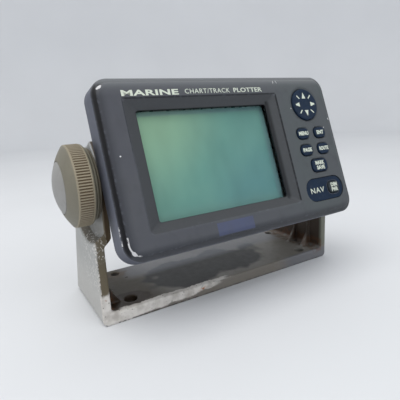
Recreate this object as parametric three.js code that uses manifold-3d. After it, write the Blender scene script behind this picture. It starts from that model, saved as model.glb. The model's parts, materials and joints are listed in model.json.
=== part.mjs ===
// Chartplotter display on a tilting U-bracket, as separate solids.
// Units are millimetres. X runs to the viewer's right, Y away from the viewer, Z up.
// The origin is the centre of the bracket's underside.
// Parts of the display head are drawn about its face centre: u right, v up the face,
// w out of the face towards the viewer, so every depth inside the head is a negative w.
import * as THREE from 'three';
import { mergeVertices } from 'three/addons/utils/BufferGeometryUtils.js';
import Module from 'manifold-3d';

const wasm = await Module();
wasm.setup();

// Fineness of the round surfaces.
const CORNER_STEPS = 3;
const ROUND_STEPS = 24;
const SMALL_ROUND_STEPS = 12;
const LARGE_ROUND_STEPS = 36;

// Gap kept between neighbouring solids.
const GAP = 0.3;

// Bracket: a floor plate with two tapering arms, dished inwards around the knobs.
const BRACKET = {
  width: 192, depth: 68, floor: 8, arm: 5.5, rearSlope: 0.375, shoulder: 58,
  earInner: 85.3, earOuter: 89.3, earRadius: 22.6, earFront: -32.5, earHoleR: 4.6,
  dishTopR: 36.2, dishFloorR: 31.5, bulgeBaseR: 40, bulgeTopR: 34.5, corner: 3,
};
const BRACKET_HOLES = [
  { x: -74, y: -22, r: 4.25 },
  { x: 74, y: -25, r: 4.25 },
  { x: -69.7, y: 23, r: 3 },
  { x: 84, y: 24.5, r: 3 },
];

// Inner webs of the arms: front edge as [distance from the arm, height over the floor].
const GUSSET = { thick: 2.4, ys: [-20.5, -5], edge: [[10, 0], [6, 6], [2.4, 11.5], [1.2, 22], [0, 38]] };

// Front top corner of the ear, in (y, z).
const EAR_CREST = [[-21.5, 112], [-29, 103]];

// Tilt axis of the head, and the lean of its face at rest.
const PIVOT = { y: -17.5, z: 86.4 };
const LEAN = THREE.MathUtils.degToRad(19.8);
const FACE_TO_PIVOT = 34.7;

// Front shell: a raised plateau, a bevel down to the rim, and side walls that flare out behind it.
const PLATEAU = { halfU: 86, halfV: 49, r: 8 };
const RIM = { halfU: 88.6, halfV: 51.6, r: 10.6 };
const SHELL = { bevel: 2.4, flare: 1, depth: 14.5, front: 3, seatW: -10.6 };
const INNER = { halfU: 84, halfV: 46.8, r: 6 };
const SEAT = { halfU: 86.1, halfV: 49.2, r: 8.1 };

// Display recess: a sloping frame down to the glass.
const WINDOW = {
  cu: -16.8, outU: 55.75, outV: 39, outR: 3, inU: 47.5, inV: 32.6, inR: 1.5, slope: 4, depth: 5.5, wall: 2.5,
};

// Display stack behind the recess, front to back: glass, frame with its panel, light guide.
const GLASS = { halfU: 49.7, halfV: 34.8, r: 2, thick: 1.8 };
const LCD_FRAME = {
  halfU: 52, halfV: 37, r: 3, front: -7.9, back: -14, openU: 48, openV: 33.2, pocketU: 49.4, pocketV: 34.6,
  pocketR: 1.5, lip: 0.6,
};
const LCD = { halfU: 49.1, halfV: 34.3, r: 1, front: -8.8, back: -11, guideBack: -13.7 };

// Keys on the right of the face.
const KEYS = [
  { name: 'menu_key', u: 55.3, v: 8.4, halfU: 5.5, halfV: 4 },
  { name: 'enter_key', u: 71.6, v: 8.2, halfU: 5.5, halfV: 4 },
  { name: 'display_key', u: 55.2, v: -3.7, halfU: 5.5, halfV: 4 },
  { name: 'goto_key', u: 71.4, v: -3.8, halfU: 5.5, halfV: 4 },
  { name: 'mark_key', u: 63.7, v: -15.6, halfU: 7.5, halfV: 4.75 },
];
const POWER_KEY = { name: 'power_key', u: 72, v: -32.8, halfU: 5.2, halfV: 4.3 };
const KEY = {
  proud: 0.9, flange: 1.2, flangeW: -3.3, lipU: 1, lipV: 0.8, foot: -6.2, footR: 2.5, fit: 0.35, r: 3.2,
  dimple: 0.6, dimpleRim: 1,
};
const CURSOR = {
  u: 64, v: 29.7, r: 12.2, back: -2.4, holeR: 12.6, wellR: 13.8, wellDepth: 1.2, pivotR: 4, pivotBack: -7,
  shoulderW: -3.6, tipR: 2.5, tipW: -3,
};
const BADGE = { u: 63.85, v: -32.7, halfU: 17.85, halfV: 8, r: 7.7, depth: 1.4, plateW: -0.5 };
const KEYPAD = { u: 63.75, halfU: 16.75, halfV: 39.5, sheetW: -7.4, boardW: -8.8 };

// Rear case and what closes it.
const CASE = { halfU: 79.5, halfV: 48.4, backU: 75, backV: 43.4, r: 8, straight: -46, back: -58, wall: 2.5 };
const SIDE_BOSS = { r: 17, to: 83.2 };
const FLANGE = { halfU: 85.8, halfV: 48.9, r: 7.8, front: -12.4, thick: 2 };
const CASE_SCREW = {
  u: 75.2, v: 43.7, bossR: 3.6, pilotR: 1.7, holeR: 1.9, wellR: 4.6, keepR: 7.2, seat: -17.5, shankR: 1.4,
  headR: 2.8, tip: -6,
};
const GASKET = { halfU: 85.7, halfV: 48.8, r: 7.7, band: 1.5 };
const BOARD = {
  halfU: 65, halfV: 38, r: 2, front: -24.4, thick: 1.6, postU: 60, postV: 30, postR: 3.2, screwTip: -36,
  screwR: 1.2, screwHeadR: 2.6, pilotR: 1.5, holeR: 1.7, pilotTip: -40,
};
const SHIELD = { u: -38, v: 10, halfU: 20, halfV: 15, r: 1, height: 6, wall: 0.6 };
const BATTERY = { u: 28, v: 22, r: 10, height: 3.2 };
const BUZZER = { u: -8, v: -26, r: 6, height: 7, ventR: 1.2, ventDepth: 2 };
const RIBBON = { u: 50, bendV: -18, tailV: -8, width: 16, thick: 0.4, bendSteps: 10 };

// Rear connectors, by their places on the back.
const SOCKET_BODY = { inner: -50, collar: 1.7, holeDepth: 5 };
const POWER_SOCKET = {
  u: 40, v: -8, holeR: 10.8, barrelR: 10.5, boreR: 8.2, flangeR: 12.5, end: -72, nutCorner: 15, nutThick: 3,
};
const POWER_PINS = { face: -60, back: -52, tip: -64, r: 0.8, circleR: 4.6, count: 6, sides: 8 };
const ANTENNA_JACK = {
  u: -34, v: -8, holeR: 5.8, barrelR: 5.5, boreR: 4.2, flangeR: 8, end: -70, nutCorner: 8.5, nutThick: 2.5,
};
const ANTENNA_CORE = { boreR: 1.3, face: -66, back: -52, pinR: 0.9, pinTip: -67, pinBack: -49 };
const GROUND = {
  u: 4, v: -26, holeR: 2.4, r: 2, end: -68, headR: 4, headThick: 2, washerR: 5.5, washerThick: 1,
  nutCorner: 4.5, nutThick: 3.2,
};
const LABEL = { u: 0, v: 19, halfU: 36, halfV: 13, r: 2, depth: 0.6, bed: 0.1 };

// Clamp knobs, measured outwards along X from the middle of the unit.
// The right one is smaller and stays behind the head when seen from the front.
const STUD = { r: 3.9, boreR: 4.25, from: 70.5 };
const LEFT_KNOB = {
  r: 24.5, rimR: 22.3, capR: 15.3, back: 91.2, knurlFrom: 95, knurlTo: 102.5, face: 108, capSeat: 105.7,
  dome: 3.6, studTo: 102.6, washerR: 21.5,
};
const RIGHT_KNOB = {
  r: 16, rimR: 14.6, capR: 9.5, back: 91.2, knurlFrom: 94.2, knurlTo: 100, face: 103.8, capSeat: 101.6,
  dome: 1.4, studTo: 98.6, washerR: 14.2,
};
const INSERT = { r: 6, bossR: 9, from: 69, to: 82.9 };
const WASHER = { boreR: 4.5, headSideR: 16 };

const FINISH = {
  bracket: { color: 0x8f8d84, roughness: 0.45, metalness: 0.1 },
  shell: { color: 0x595c61, roughness: 0.5, metalness: 0.0 },
  knob: { color: 0x8c8a7a, roughness: 0.55, metalness: 0.0 },
  key: { color: 0x2a2d3d, roughness: 0.6, metalness: 0.0 },
  glass: { color: 0x9fb8b4, roughness: 0.08, metalness: 0.0 },
  lcd: { color: 0x79a68f, roughness: 0.2, metalness: 0.0 },
  steel: { color: 0xb5b6b8, roughness: 0.3, metalness: 0.9 },
  brass: { color: 0xb08d4f, roughness: 0.35, metalness: 0.9 },
  board: { color: 0x1f5c3a, roughness: 0.5, metalness: 0.0 },
  rubber: { color: 0x26262a, roughness: 0.8, metalness: 0.0 },
  white: { color: 0xd8dad6, roughness: 0.6, metalness: 0.0 },
  black: { color: 0x1c1d20, roughness: 0.5, metalness: 0.0 },
};

// ---------------------------------------------------------------- solids

// A welded, outward-facing solid from any closed three.js geometry.
function solid(geometry) {
  const plain = geometry.index ? geometry.toNonIndexed() : geometry.clone();
  plain.deleteAttribute('normal');
  plain.deleteAttribute('uv');
  const welded = mergeVertices(plain, 1e-4);
  const p = welded.attributes.position.array;
  const faces = [];
  let volume = 0;
  for (let i = 0; i < welded.index.count; i += 3) {
    const [a, b, c] = [0, 1, 2].map((k) => welded.index.array[i + k]);
    if (a === b || b === c || c === a) continue;
    faces.push([a, b, c]);
    const [A, B, C] = [a, b, c].map((k) => new THREE.Vector3().fromArray(p, 3 * k));
    volume += A.dot(B.cross(C)) / 6;
  }
  const wound = volume < 0 ? faces.map(([a, b, c]) => [a, c, b]) : faces;
  return new wasm.Manifold(new wasm.Mesh({
    numProp: 3, vertProperties: new Float32Array(p), triVerts: new Uint32Array(wound.flat()),
  }));
}

function unite(...solids) {
  return solids.reduce((sum, next) => sum.add(next));
}

function cut(body, ...tools) {
  return tools.reduce((left, tool) => left.subtract(tool), body);
}

function geometryOf(body) {
  const mesh = body.getMesh();
  const geometry = new THREE.BufferGeometry();
  geometry.setAttribute('position', new THREE.BufferAttribute(mesh.vertProperties, 3));
  geometry.setIndex(new THREE.BufferAttribute(mesh.triVerts, 1));
  geometry.computeVertexNormals();
  return geometry;
}

function place(parent, name, finish, body) {
  const mesh = new THREE.Mesh(geometryOf(body), new THREE.MeshStandardMaterial(FINISH[finish]));
  mesh.name = name;
  parent.add(mesh);
}

// ---------------------------------------------------------------- shapes on the head

function roundedRect(halfU, halfV, r, cu = 0, cv = 0) {
  const shape = new THREE.Shape();
  shape.absarc(cu + halfU - r, cv - halfV + r, r, -Math.PI / 2, 0);
  shape.absarc(cu + halfU - r, cv + halfV - r, r, 0, Math.PI / 2);
  shape.absarc(cu - halfU + r, cv + halfV - r, r, Math.PI / 2, Math.PI);
  shape.absarc(cu - halfU + r, cv - halfV + r, r, Math.PI, 1.5 * Math.PI);
  shape.closePath();
  return shape;
}

// A flat-sided slab between two depths.
function slab(shape, w0, w1) {
  const options = { depth: w1 - w0, bevelEnabled: false, curveSegments: CORNER_STEPS };
  const geometry = new THREE.ExtrudeGeometry(shape, options);
  geometry.translate(0, 0, w0);
  geometry.rotateX(Math.PI / 2);
  return solid(geometry);
}

function panel(halfU, halfV, r, w0, w1, cu = 0, cv = 0) {
  return slab(roundedRect(halfU, halfV, r, cu, cv), w0, w1);
}

// A round post along w.
function post(u, v, r, w0, w1, steps = SMALL_ROUND_STEPS) {
  const geometry = new THREE.CylinderGeometry(r, r, w1 - w0, steps);
  geometry.translate(u, -(w0 + w1) / 2, v);
  return solid(geometry);
}

// A solid through rounded rectangles of different sizes, each { halfU, halfV, r, w }.
function loft(rings, cu = 0, cv = 0) {
  const points = [];
  for (const ring of rings) {
    for (let corner = 0; corner < 4; corner += 1) {
      const su = corner === 0 || corner === 3 ? 1 : -1;
      const sv = corner < 2 ? 1 : -1;
      for (let step = 0; step <= CORNER_STEPS; step += 1) {
        const angle = (corner + step / CORNER_STEPS) * (Math.PI / 2);
        const u = cu + su * (ring.halfU - ring.r) + ring.r * Math.cos(angle);
        const v = cv + sv * (ring.halfV - ring.r) + ring.r * Math.sin(angle);
        points.push(u, -ring.w, v);
      }
    }
  }
  const count = 4 * (CORNER_STEPS + 1);
  const index = [];
  for (let ring = 0; ring + 1 < rings.length; ring += 1) {
    for (let i = 0; i < count; i += 1) {
      const j = (i + 1) % count;
      const [a, b] = [ring * count + i, ring * count + j];
      index.push(a, b, b + count, a, b + count, a + count);
    }
  }
  const last = (rings.length - 1) * count;
  for (let i = 1; i + 1 < count; i += 1) {
    index.push(0, i + 1, i, last, last + i, last + i + 1);
  }
  const geometry = new THREE.BufferGeometry();
  geometry.setAttribute('position', new THREE.Float32BufferAttribute(points, 3));
  geometry.setIndex(index);
  return solid(geometry);
}

// A turned solid about w, from [radius, w] pairs.
function turned(u, v, profile, steps = ROUND_STEPS) {
  const points = profile.map(([r, w]) => new THREE.Vector2(r, -w));
  const geometry = new THREE.LatheGeometry(points, steps);
  geometry.translate(u, 0, v);
  return solid(geometry);
}

// A turned solid about X, from [radius, x] pairs. side is 1 on the right and -1 on the left.
function turnedX(side, profile, steps = ROUND_STEPS) {
  const points = profile.map(([r, x]) => new THREE.Vector2(r, x));
  const geometry = new THREE.LatheGeometry(points, steps);
  geometry.rotateZ(-side * Math.PI / 2);
  return solid(geometry);
}

function ringX(side, inner, outer, from, to, steps = ROUND_STEPS) {
  return turnedX(side, [[inner, from], [outer, from], [outer, to], [inner, to], [inner, from]], steps);
}

function diskX(side, r, from, to, steps = ROUND_STEPS) {
  return turnedX(side, [[0, from], [r, from], [r, to], [0, to]], steps);
}

// ---------------------------------------------------------------- bracket

// Side view of floor and arm, in (y, z).
function armOutline() {
  const half = BRACKET.depth / 2;
  const shape = new THREE.Shape();
  shape.moveTo(-half, 0);
  shape.lineTo(half, 0);
  shape.lineTo(half - BRACKET.rearSlope * BRACKET.shoulder, BRACKET.shoulder);
  shape.absarc(PIVOT.y, PIVOT.z, BRACKET.earRadius, -0.26, 1.48);
  EAR_CREST.forEach(([y, z]) => shape.lineTo(y, z));
  shape.lineTo(BRACKET.earFront, PIVOT.z + 8.6);
  shape.lineTo(BRACKET.earFront, BRACKET.shoulder - 2);
  shape.lineTo(-half, BRACKET.shoulder - 8);
  shape.closePath();
  return shape;
}

// A slab of a (y, z) outline between two x.
function sideSlab(shape, x0, x1) {
  const options = { depth: x1 - x0, bevelEnabled: false, curveSegments: 12 };
  const geometry = new THREE.ExtrudeGeometry(shape, options);
  geometry.rotateX(Math.PI / 2);
  geometry.rotateZ(Math.PI / 2);
  geometry.translate(x0, 0, 0);
  return solid(geometry);
}

// Front view of the U, in (x, z), with rounded corners inside and out.
function uOutline() {
  const half = BRACKET.width / 2;
  const inner = half - BRACKET.arm;
  const top = EAR_CREST[0][1] + 1;
  const r = BRACKET.corner;
  const shape = new THREE.Shape();
  shape.moveTo(-half, top);
  shape.absarc(-half + r, r, r, Math.PI, 1.5 * Math.PI);
  shape.absarc(half - r, r, r, 1.5 * Math.PI, 2 * Math.PI);
  shape.lineTo(half, top);
  shape.lineTo(inner, top);
  shape.absarc(inner - r, BRACKET.floor + r, r, 0, -Math.PI / 2, true);
  shape.absarc(-inner + r, BRACKET.floor + r, r, -Math.PI / 2, -Math.PI, true);
  shape.lineTo(-inner, top);
  shape.closePath();
  return shape;
}

function atPivot(body) {
  return body.translate([0, PIVOT.y, PIVOT.z]);
}

function gusset(side, y) {
  const inner = BRACKET.width / 2 - BRACKET.arm + 1;
  const shape = new THREE.Shape();
  shape.moveTo(side * inner, BRACKET.floor - 1);
  shape.lineTo(side * (inner - 1 - GUSSET.edge[0][0]), BRACKET.floor - 1);
  GUSSET.edge.forEach(([run, rise]) => shape.lineTo(side * (inner - 1 - run), BRACKET.floor + rise));
  shape.lineTo(side * inner, BRACKET.floor + GUSSET.edge[4][1]);
  shape.closePath();
  return slab(shape, -y - GUSSET.thick / 2, -y + GUSSET.thick / 2);
}

function bracket() {
  const half = BRACKET.width / 2;
  const profile = sideSlab(armOutline(), -half, half);
  let body = slab(uOutline(), -BRACKET.depth, BRACKET.depth).intersect(profile);
  for (const side of [-1, 1]) {
    const armInner = half - BRACKET.arm;
    const bulge = turnedX(side, [
      [0, BRACKET.earInner], [BRACKET.bulgeTopR, BRACKET.earInner],
      [BRACKET.bulgeBaseR, armInner + 0.5], [0, armInner + 0.5],
    ], LARGE_ROUND_STEPS);
    body = unite(body, atPivot(bulge).intersect(profile));
    const dish = turnedX(side, [
      [0, BRACKET.earOuter], [BRACKET.dishFloorR, BRACKET.earOuter],
      [BRACKET.dishTopR, half + 0.1], [0, half + 0.1],
    ], LARGE_ROUND_STEPS);
    body = cut(body, atPivot(dish));
    body = cut(body, atPivot(diskX(side, BRACKET.earHoleR, BRACKET.earInner - 1, half)));
    for (const y of GUSSET.ys) {
      body = unite(body, gusset(side, y));
    }
  }
  for (const hole of BRACKET_HOLES) {
    const drill = new THREE.CylinderGeometry(hole.r, hole.r, 3 * BRACKET.floor, SMALL_ROUND_STEPS);
    drill.rotateX(Math.PI / 2);
    drill.translate(hole.x, hole.y, 0);
    body = cut(body, solid(drill));
  }
  return body;
}

// ---------------------------------------------------------------- front shell and display

function frontBezel() {
  const front = -SHELL.front;
  let body = loft([
    { halfU: RIM.halfU + SHELL.flare, halfV: RIM.halfV + SHELL.flare, r: RIM.r + SHELL.flare, w: -SHELL.depth },
    { ...RIM, w: -SHELL.bevel },
    { ...PLATEAU, w: 0 },
  ]);
  body = cut(
    body,
    panel(INNER.halfU, INNER.halfV, INNER.r, -SHELL.depth - 1, front),
    panel(SEAT.halfU, SEAT.halfV, SEAT.r, -SHELL.depth - 1, SHELL.seatW),
  );
  body = unite(body, loft([
    { halfU: WINDOW.inU + WINDOW.wall, halfV: WINDOW.inV + WINDOW.wall, r: 3, w: -WINDOW.depth },
    { halfU: WINDOW.outU + WINDOW.wall, halfV: WINDOW.outV + WINDOW.wall, r: 5, w: front + 0.5 },
  ], WINDOW.cu));
  const windowIn = { halfU: WINDOW.inU, halfV: WINDOW.inV, r: WINDOW.inR };
  const windowOut = { halfU: WINDOW.outU, halfV: WINDOW.outV, r: WINDOW.outR };
  body = cut(body, loft([
    { ...windowIn, w: -WINDOW.depth - 1 },
    { ...windowIn, w: -WINDOW.slope },
    { ...windowOut, w: 0 },
    { ...windowOut, w: 1 },
  ], WINDOW.cu));
  for (const key of [...KEYS, POWER_KEY]) {
    const fit = KEY.fit;
    body = cut(body, panel(key.halfU + fit, key.halfV + fit, KEY.r + fit, -5, 1, key.u, key.v));
  }
  for (const key of KEYS) {
    const rim = KEY.dimpleRim;
    body = cut(body, panel(key.halfU + rim, key.halfV + rim, KEY.r + rim, -KEY.dimple, 1, key.u, key.v));
  }
  body = cut(
    body,
    panel(BADGE.halfU + GAP, BADGE.halfV + GAP, BADGE.r + GAP, -BADGE.depth, 1, BADGE.u, BADGE.v),
    post(CURSOR.u, CURSOR.v, CURSOR.wellR, -CURSOR.wellDepth, 1, ROUND_STEPS),
    post(CURSOR.u, CURSOR.v, CURSOR.holeR, -5, 1, ROUND_STEPS),
  );
  for (const [u, v] of screwPlaces()) {
    body = unite(body, post(u, v, CASE_SCREW.bossR, FLANGE.front + GAP, front + 0.5));
    body = cut(body, post(u, v, CASE_SCREW.pilotR, FLANGE.front, front - 2));
  }
  return body;
}

function screwPlaces() {
  return [[-1, 1], [1, 1], [-1, -1], [1, -1]].map(([a, b]) => [a * CASE_SCREW.u, b * CASE_SCREW.v]);
}

function displayParts(face) {
  const cu = WINDOW.cu;
  const glassW = -WINDOW.depth - GAP;
  const pane = panel(GLASS.halfU, GLASS.halfV, GLASS.r, glassW - GLASS.thick, glassW, cu);
  place(face, 'display_window', 'glass', pane);
  const f = LCD_FRAME;
  const frame = cut(
    panel(f.halfU, f.halfV, f.r, f.back, f.front, cu),
    panel(f.openU, f.openV, f.pocketR, f.front - 1, f.front + 1, cu),
    panel(f.pocketU, f.pocketV, f.pocketR, f.back - 1, f.front - f.lip, cu),
  );
  place(face, 'lcd_frame', 'steel', frame);
  place(face, 'lcd_panel', 'lcd', panel(LCD.halfU, LCD.halfV, LCD.r, LCD.back, LCD.front, cu));
  place(face, 'light_guide', 'white', panel(LCD.halfU, LCD.halfV, LCD.r, LCD.guideBack, LCD.back - GAP, cu));
}

// ---------------------------------------------------------------- keys

function keyCap(key) {
  const { flangeW, flange } = KEY;
  return unite(
    panel(key.halfU, key.halfV, KEY.r, flangeW - 0.5, KEY.proud, key.u, key.v),
    panel(key.halfU + KEY.lipU, key.halfV + KEY.lipV, KEY.r, flangeW - flange, flangeW, key.u, key.v),
    post(key.u, key.v, KEY.footR, KEY.foot, KEY.flangeW - 0.5),
  );
}

function controlParts(face) {
  for (const key of [...KEYS, POWER_KEY]) {
    place(face, key.name, 'key', keyCap(key));
  }
  const { u, v, r, back, pivotR, pivotBack, shoulderW, tipR, tipW } = CURSOR;
  const pad = turned(u, v, [[0, back], [r, back], [r, 0.4], [r - 0.8, 0.9], [4, 0.6], [0, 0.4]]);
  place(face, 'cursor_pad', 'key', pad);
  const pivot = [[0, pivotBack], [pivotR, pivotBack], [pivotR, shoulderW], [tipR, tipW], [0, tipW + 0.1]];
  place(face, 'cursor_pivot', 'white', turned(u, v, pivot, SMALL_ROUND_STEPS));
  const keyFit = KEY.fit + 0.05;
  const keyHole = panel(
    POWER_KEY.halfU + keyFit, POWER_KEY.halfV + keyFit, KEY.r + keyFit, -5, 1, POWER_KEY.u, POWER_KEY.v,
  );
  const plate = cut(
    panel(BADGE.halfU, BADGE.halfV, BADGE.r, -BADGE.depth + GAP, BADGE.plateW, BADGE.u, BADGE.v),
    keyHole,
  );
  place(face, 'badge_plate', 'key', plate);
  const { sheetW, boardW } = KEYPAD;
  const flat = (w0, w1) => panel(KEYPAD.halfU, KEYPAD.halfV, 2, w0, w1, KEYPAD.u);
  place(face, 'keypad_sheet', 'rubber', flat(sheetW - 1, sheetW));
  place(face, 'keypad_board', 'board', flat(boardW - BOARD.thick, boardW));
}

// ---------------------------------------------------------------- rear case and boards

function rearCase() {
  const { halfU, halfV, backU, backV, r, straight, back, wall } = CASE;
  let body = unite(
    panel(FLANGE.halfU, FLANGE.halfV, FLANGE.r, FLANGE.front - FLANGE.thick, FLANGE.front),
    loft([
      { halfU: backU, halfV: backV, r, w: back },
      { halfU, halfV, r, w: straight },
      { halfU, halfV, r, w: FLANGE.front - 1 },
    ]),
  );
  let hollow = loft([
    { halfU: backU - wall, halfV: backV - wall, r: r - wall, w: back + wall },
    { halfU: halfU - wall, halfV: halfV - wall, r: r - wall, w: straight },
    { halfU: halfU - wall, halfV: halfV - wall, r: r - wall, w: FLANGE.front + 1 },
  ]);
  for (const [u, v] of screwPlaces()) {
    hollow = cut(hollow, post(u, v, CASE_SCREW.keepR, back, FLANGE.front + 2));
  }
  for (const side of [-1, 1]) {
    const boss = diskX(side, INSERT.bossR, INSERT.from - 2.5, halfU).translate([0, FACE_TO_PIVOT, 0]);
    hollow = cut(hollow, boss);
  }
  for (const [u, v] of boardPlaces()) {
    hollow = cut(hollow, post(u, v, BOARD.postR, back, BOARD.front - BOARD.thick - GAP));
  }
  for (const side of [-1, 1]) {
    const boss = diskX(side, SIDE_BOSS.r, halfU - 1, SIDE_BOSS.to).translate([0, FACE_TO_PIVOT, 0]);
    body = unite(body, boss);
  }
  body = cut(body, hollow);
  for (const [u, v] of screwPlaces()) {
    body = cut(
      body,
      post(u, v, CASE_SCREW.wellR, back - 1, CASE_SCREW.seat),
      post(u, v, CASE_SCREW.holeR, back, FLANGE.front + 1),
    );
  }
  for (const side of [-1, 1]) {
    const bore = diskX(side, INSERT.r + GAP, INSERT.from - GAP, SIDE_BOSS.to + 1);
    body = cut(body, bore.translate([0, FACE_TO_PIVOT, 0]));
  }
  for (const [u, v] of boardPlaces()) {
    body = cut(body, post(u, v, BOARD.pilotR, BOARD.pilotTip, BOARD.front));
  }
  const holeTo = back + SOCKET_BODY.holeDepth;
  return cut(
    body,
    post(POWER_SOCKET.u, POWER_SOCKET.v, POWER_SOCKET.holeR, back - 1, holeTo, ROUND_STEPS),
    post(ANTENNA_JACK.u, ANTENNA_JACK.v, ANTENNA_JACK.holeR, back - 1, holeTo),
    post(GROUND.u, GROUND.v, GROUND.holeR, back - 1, holeTo),
    panel(LABEL.halfU + GAP, LABEL.halfV + GAP, LABEL.r, back - 1, back + LABEL.depth, LABEL.u, LABEL.v),
  );
}

function boardPlaces() {
  return [[-1, 1], [1, 1], [-1, -1], [1, -1]].map(([a, b]) => [a * BOARD.postU, b * BOARD.postV]);
}

// A pan-head screw along w, with its head seated at the given depth. out is -1 when the head
// faces the back and 1 when it faces the front.
function panScrew(u, v, shankR, headR, tip, seat, out) {
  const profile = [
    [0, tip], [shankR, tip], [shankR, seat], [headR, seat], [headR, seat + 1.2 * out],
    [headR - 0.8, seat + 2 * out], [0, seat + 2 * out],
  ];
  return turned(u, v, profile, SMALL_ROUND_STEPS);
}

function caseParts(face) {
  place(face, 'rear_case', 'shell', rearCase());
  const { halfU, halfV, r, band } = GASKET;
  const gasket = cut(
    panel(halfU, halfV, r, FLANGE.front + GAP, SHELL.seatW - GAP),
    panel(halfU - band, halfV - band + 0.2, r - band, FLANGE.front, SHELL.seatW),
  );
  place(face, 'case_gasket', 'rubber', gasket);
  const { shankR, headR, tip, seat } = CASE_SCREW;
  screwPlaces().forEach(([u, v], i) => {
    place(face, `case_screw_${i + 1}`, 'steel', panScrew(u, v, shankR, headR, tip, seat - GAP, -1));
  });
  const labelBed = CASE.back + LABEL.bed;
  const labelTop = CASE.back + LABEL.depth - GAP;
  const label = panel(LABEL.halfU, LABEL.halfV, LABEL.r - GAP, labelBed, labelTop, LABEL.u, LABEL.v);
  place(face, 'rear_label', 'white', label);
}

function boardParts(face) {
  const { halfU, halfV, r, front, thick, holeR, screwR, screwHeadR, screwTip } = BOARD;
  const back = front - thick;
  let board = panel(halfU, halfV, r, back, front);
  for (const [u, v] of boardPlaces()) {
    board = cut(board, post(u, v, holeR, back - 1, front + 1));
  }
  place(face, 'main_board', 'board', board);
  boardPlaces().forEach(([u, v], i) => {
    place(face, `board_screw_${i + 1}`, 'steel', panScrew(u, v, screwR, screwHeadR, screwTip, front + GAP, 1));
  });
  const under = back - GAP;
  const can = SHIELD;
  place(face, 'receiver_shield', 'steel', cut(
    panel(can.halfU, can.halfV, can.r, under - can.height, under, can.u, can.v),
    panel(can.halfU - can.wall, can.halfV - can.wall, can.r, under - can.height + can.wall, back, can.u, can.v),
  ));
  const cell = BATTERY;
  place(face, 'backup_battery', 'steel', post(cell.u, cell.v, cell.r, under - cell.height, under, ROUND_STEPS));
  const horn = BUZZER;
  const hornEnd = under - horn.height;
  place(face, 'buzzer', 'black', cut(
    post(horn.u, horn.v, horn.r, hornEnd, under),
    post(horn.u, horn.v, horn.ventR, hornEnd - 1, hornEnd + horn.ventDepth),
  ));
  place(face, 'ribbon_cable', 'white', ribbon());
}

// A flat ribbon looping from the keypad board back to the main board.
function ribbon() {
  const { u, bendV, tailV, width, thick, bendSteps } = RIBBON;
  const from = KEYPAD.boardW - BOARD.thick - GAP;
  const to = BOARD.front + GAP;
  const middle = (from + to) / 2;
  const outer = (from - to) / 2;
  const shape = new THREE.Shape();
  shape.moveTo(tailV, from);
  shape.absarc(bendV, middle, outer, Math.PI / 2, 1.5 * Math.PI);
  shape.lineTo(tailV, to);
  shape.lineTo(tailV, to + thick);
  shape.absarc(bendV, middle, outer - thick, 1.5 * Math.PI, Math.PI / 2, true);
  shape.lineTo(tailV, from - thick);
  shape.closePath();
  const options = { depth: width, bevelEnabled: false, curveSegments: bendSteps };
  const geometry = new THREE.ExtrudeGeometry(shape, options);
  geometry.rotateY(Math.PI / 2);
  geometry.rotateX(Math.PI);
  geometry.translate(u, 0, 0);
  return solid(geometry);
}

// ---------------------------------------------------------------- rear connectors

function tubeProfile(jack) {
  const innerEnd = SOCKET_BODY.inner;
  const seat = CASE.back - GAP;
  return [
    [jack.boreR, innerEnd], [jack.barrelR, innerEnd], [jack.barrelR, seat], [jack.flangeR, seat],
    [jack.flangeR, seat - SOCKET_BODY.collar], [jack.barrelR, seat - SOCKET_BODY.collar],
    [jack.barrelR, jack.end],
    [jack.boreR, jack.end], [jack.boreR, innerEnd],
  ];
}

function ring(u, v, inner, outer, w0, w1) {
  return turned(u, v, [[inner, w0], [outer, w0], [outer, w1], [inner, w1], [inner, w0]]);
}

function hexNut(u, v, bore, corner, w0, w1) {
  return cut(post(u, v, corner, w0, w1, 6), post(u, v, bore, w0 - 1, w1 + 1, ROUND_STEPS));
}

function connectorParts(face) {
  const inside = CASE.back + CASE.wall + GAP;
  for (const [name, finish, jack] of [
    ['power_socket', 'black', POWER_SOCKET],
    ['antenna_jack', 'steel', ANTENNA_JACK],
  ]) {
    place(face, name, finish, turned(jack.u, jack.v, tubeProfile(jack)));
    const nut = hexNut(jack.u, jack.v, jack.barrelR + GAP, jack.nutCorner, inside, inside + jack.nutThick);
    place(face, `${name}_nut`, 'steel', nut);
  }

  const power = POWER_SOCKET;
  const pin = POWER_PINS;
  const pinAt = (u, v) => post(u, v, pin.r, pin.tip, pin.face + 1, pin.sides);
  let pins = post(power.u, power.v, power.boreR - GAP, pin.face, pin.back, ROUND_STEPS);
  pins = unite(pins, pinAt(power.u, power.v));
  for (let i = 0; i < pin.count; i += 1) {
    const angle = (2 * Math.PI * i) / pin.count;
    pins = unite(pins, pinAt(power.u + pin.circleR * Math.cos(angle), power.v + pin.circleR * Math.sin(angle)));
  }
  place(face, 'power_pin_block', 'brass', pins);

  const jack = ANTENNA_JACK;
  const core = ANTENNA_CORE;
  const insulator = ring(jack.u, jack.v, core.boreR, jack.boreR - GAP, core.face, core.back);
  place(face, 'antenna_insulator', 'white', insulator);
  place(face, 'antenna_pin', 'brass', post(jack.u, jack.v, core.pinR, core.pinTip, core.pinBack));

  const { u, v, r, end, headR, headThick, washerR, washerThick, nutCorner, nutThick } = GROUND;
  const head = post(u, v, headR, inside, inside + headThick, 6);
  place(face, 'ground_stud', 'steel', unite(head, post(u, v, r, end, inside + 1)));
  const washerBack = CASE.back - GAP - washerThick;
  place(face, 'ground_washer', 'steel', ring(u, v, r + GAP, washerR, washerBack, washerBack + washerThick));
  const nutBack = washerBack - GAP - nutThick;
  place(face, 'ground_nut', 'steel', hexNut(u, v, r + GAP, nutCorner, nutBack, nutBack + nutThick));
}

// ---------------------------------------------------------------- clamp knobs

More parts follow.
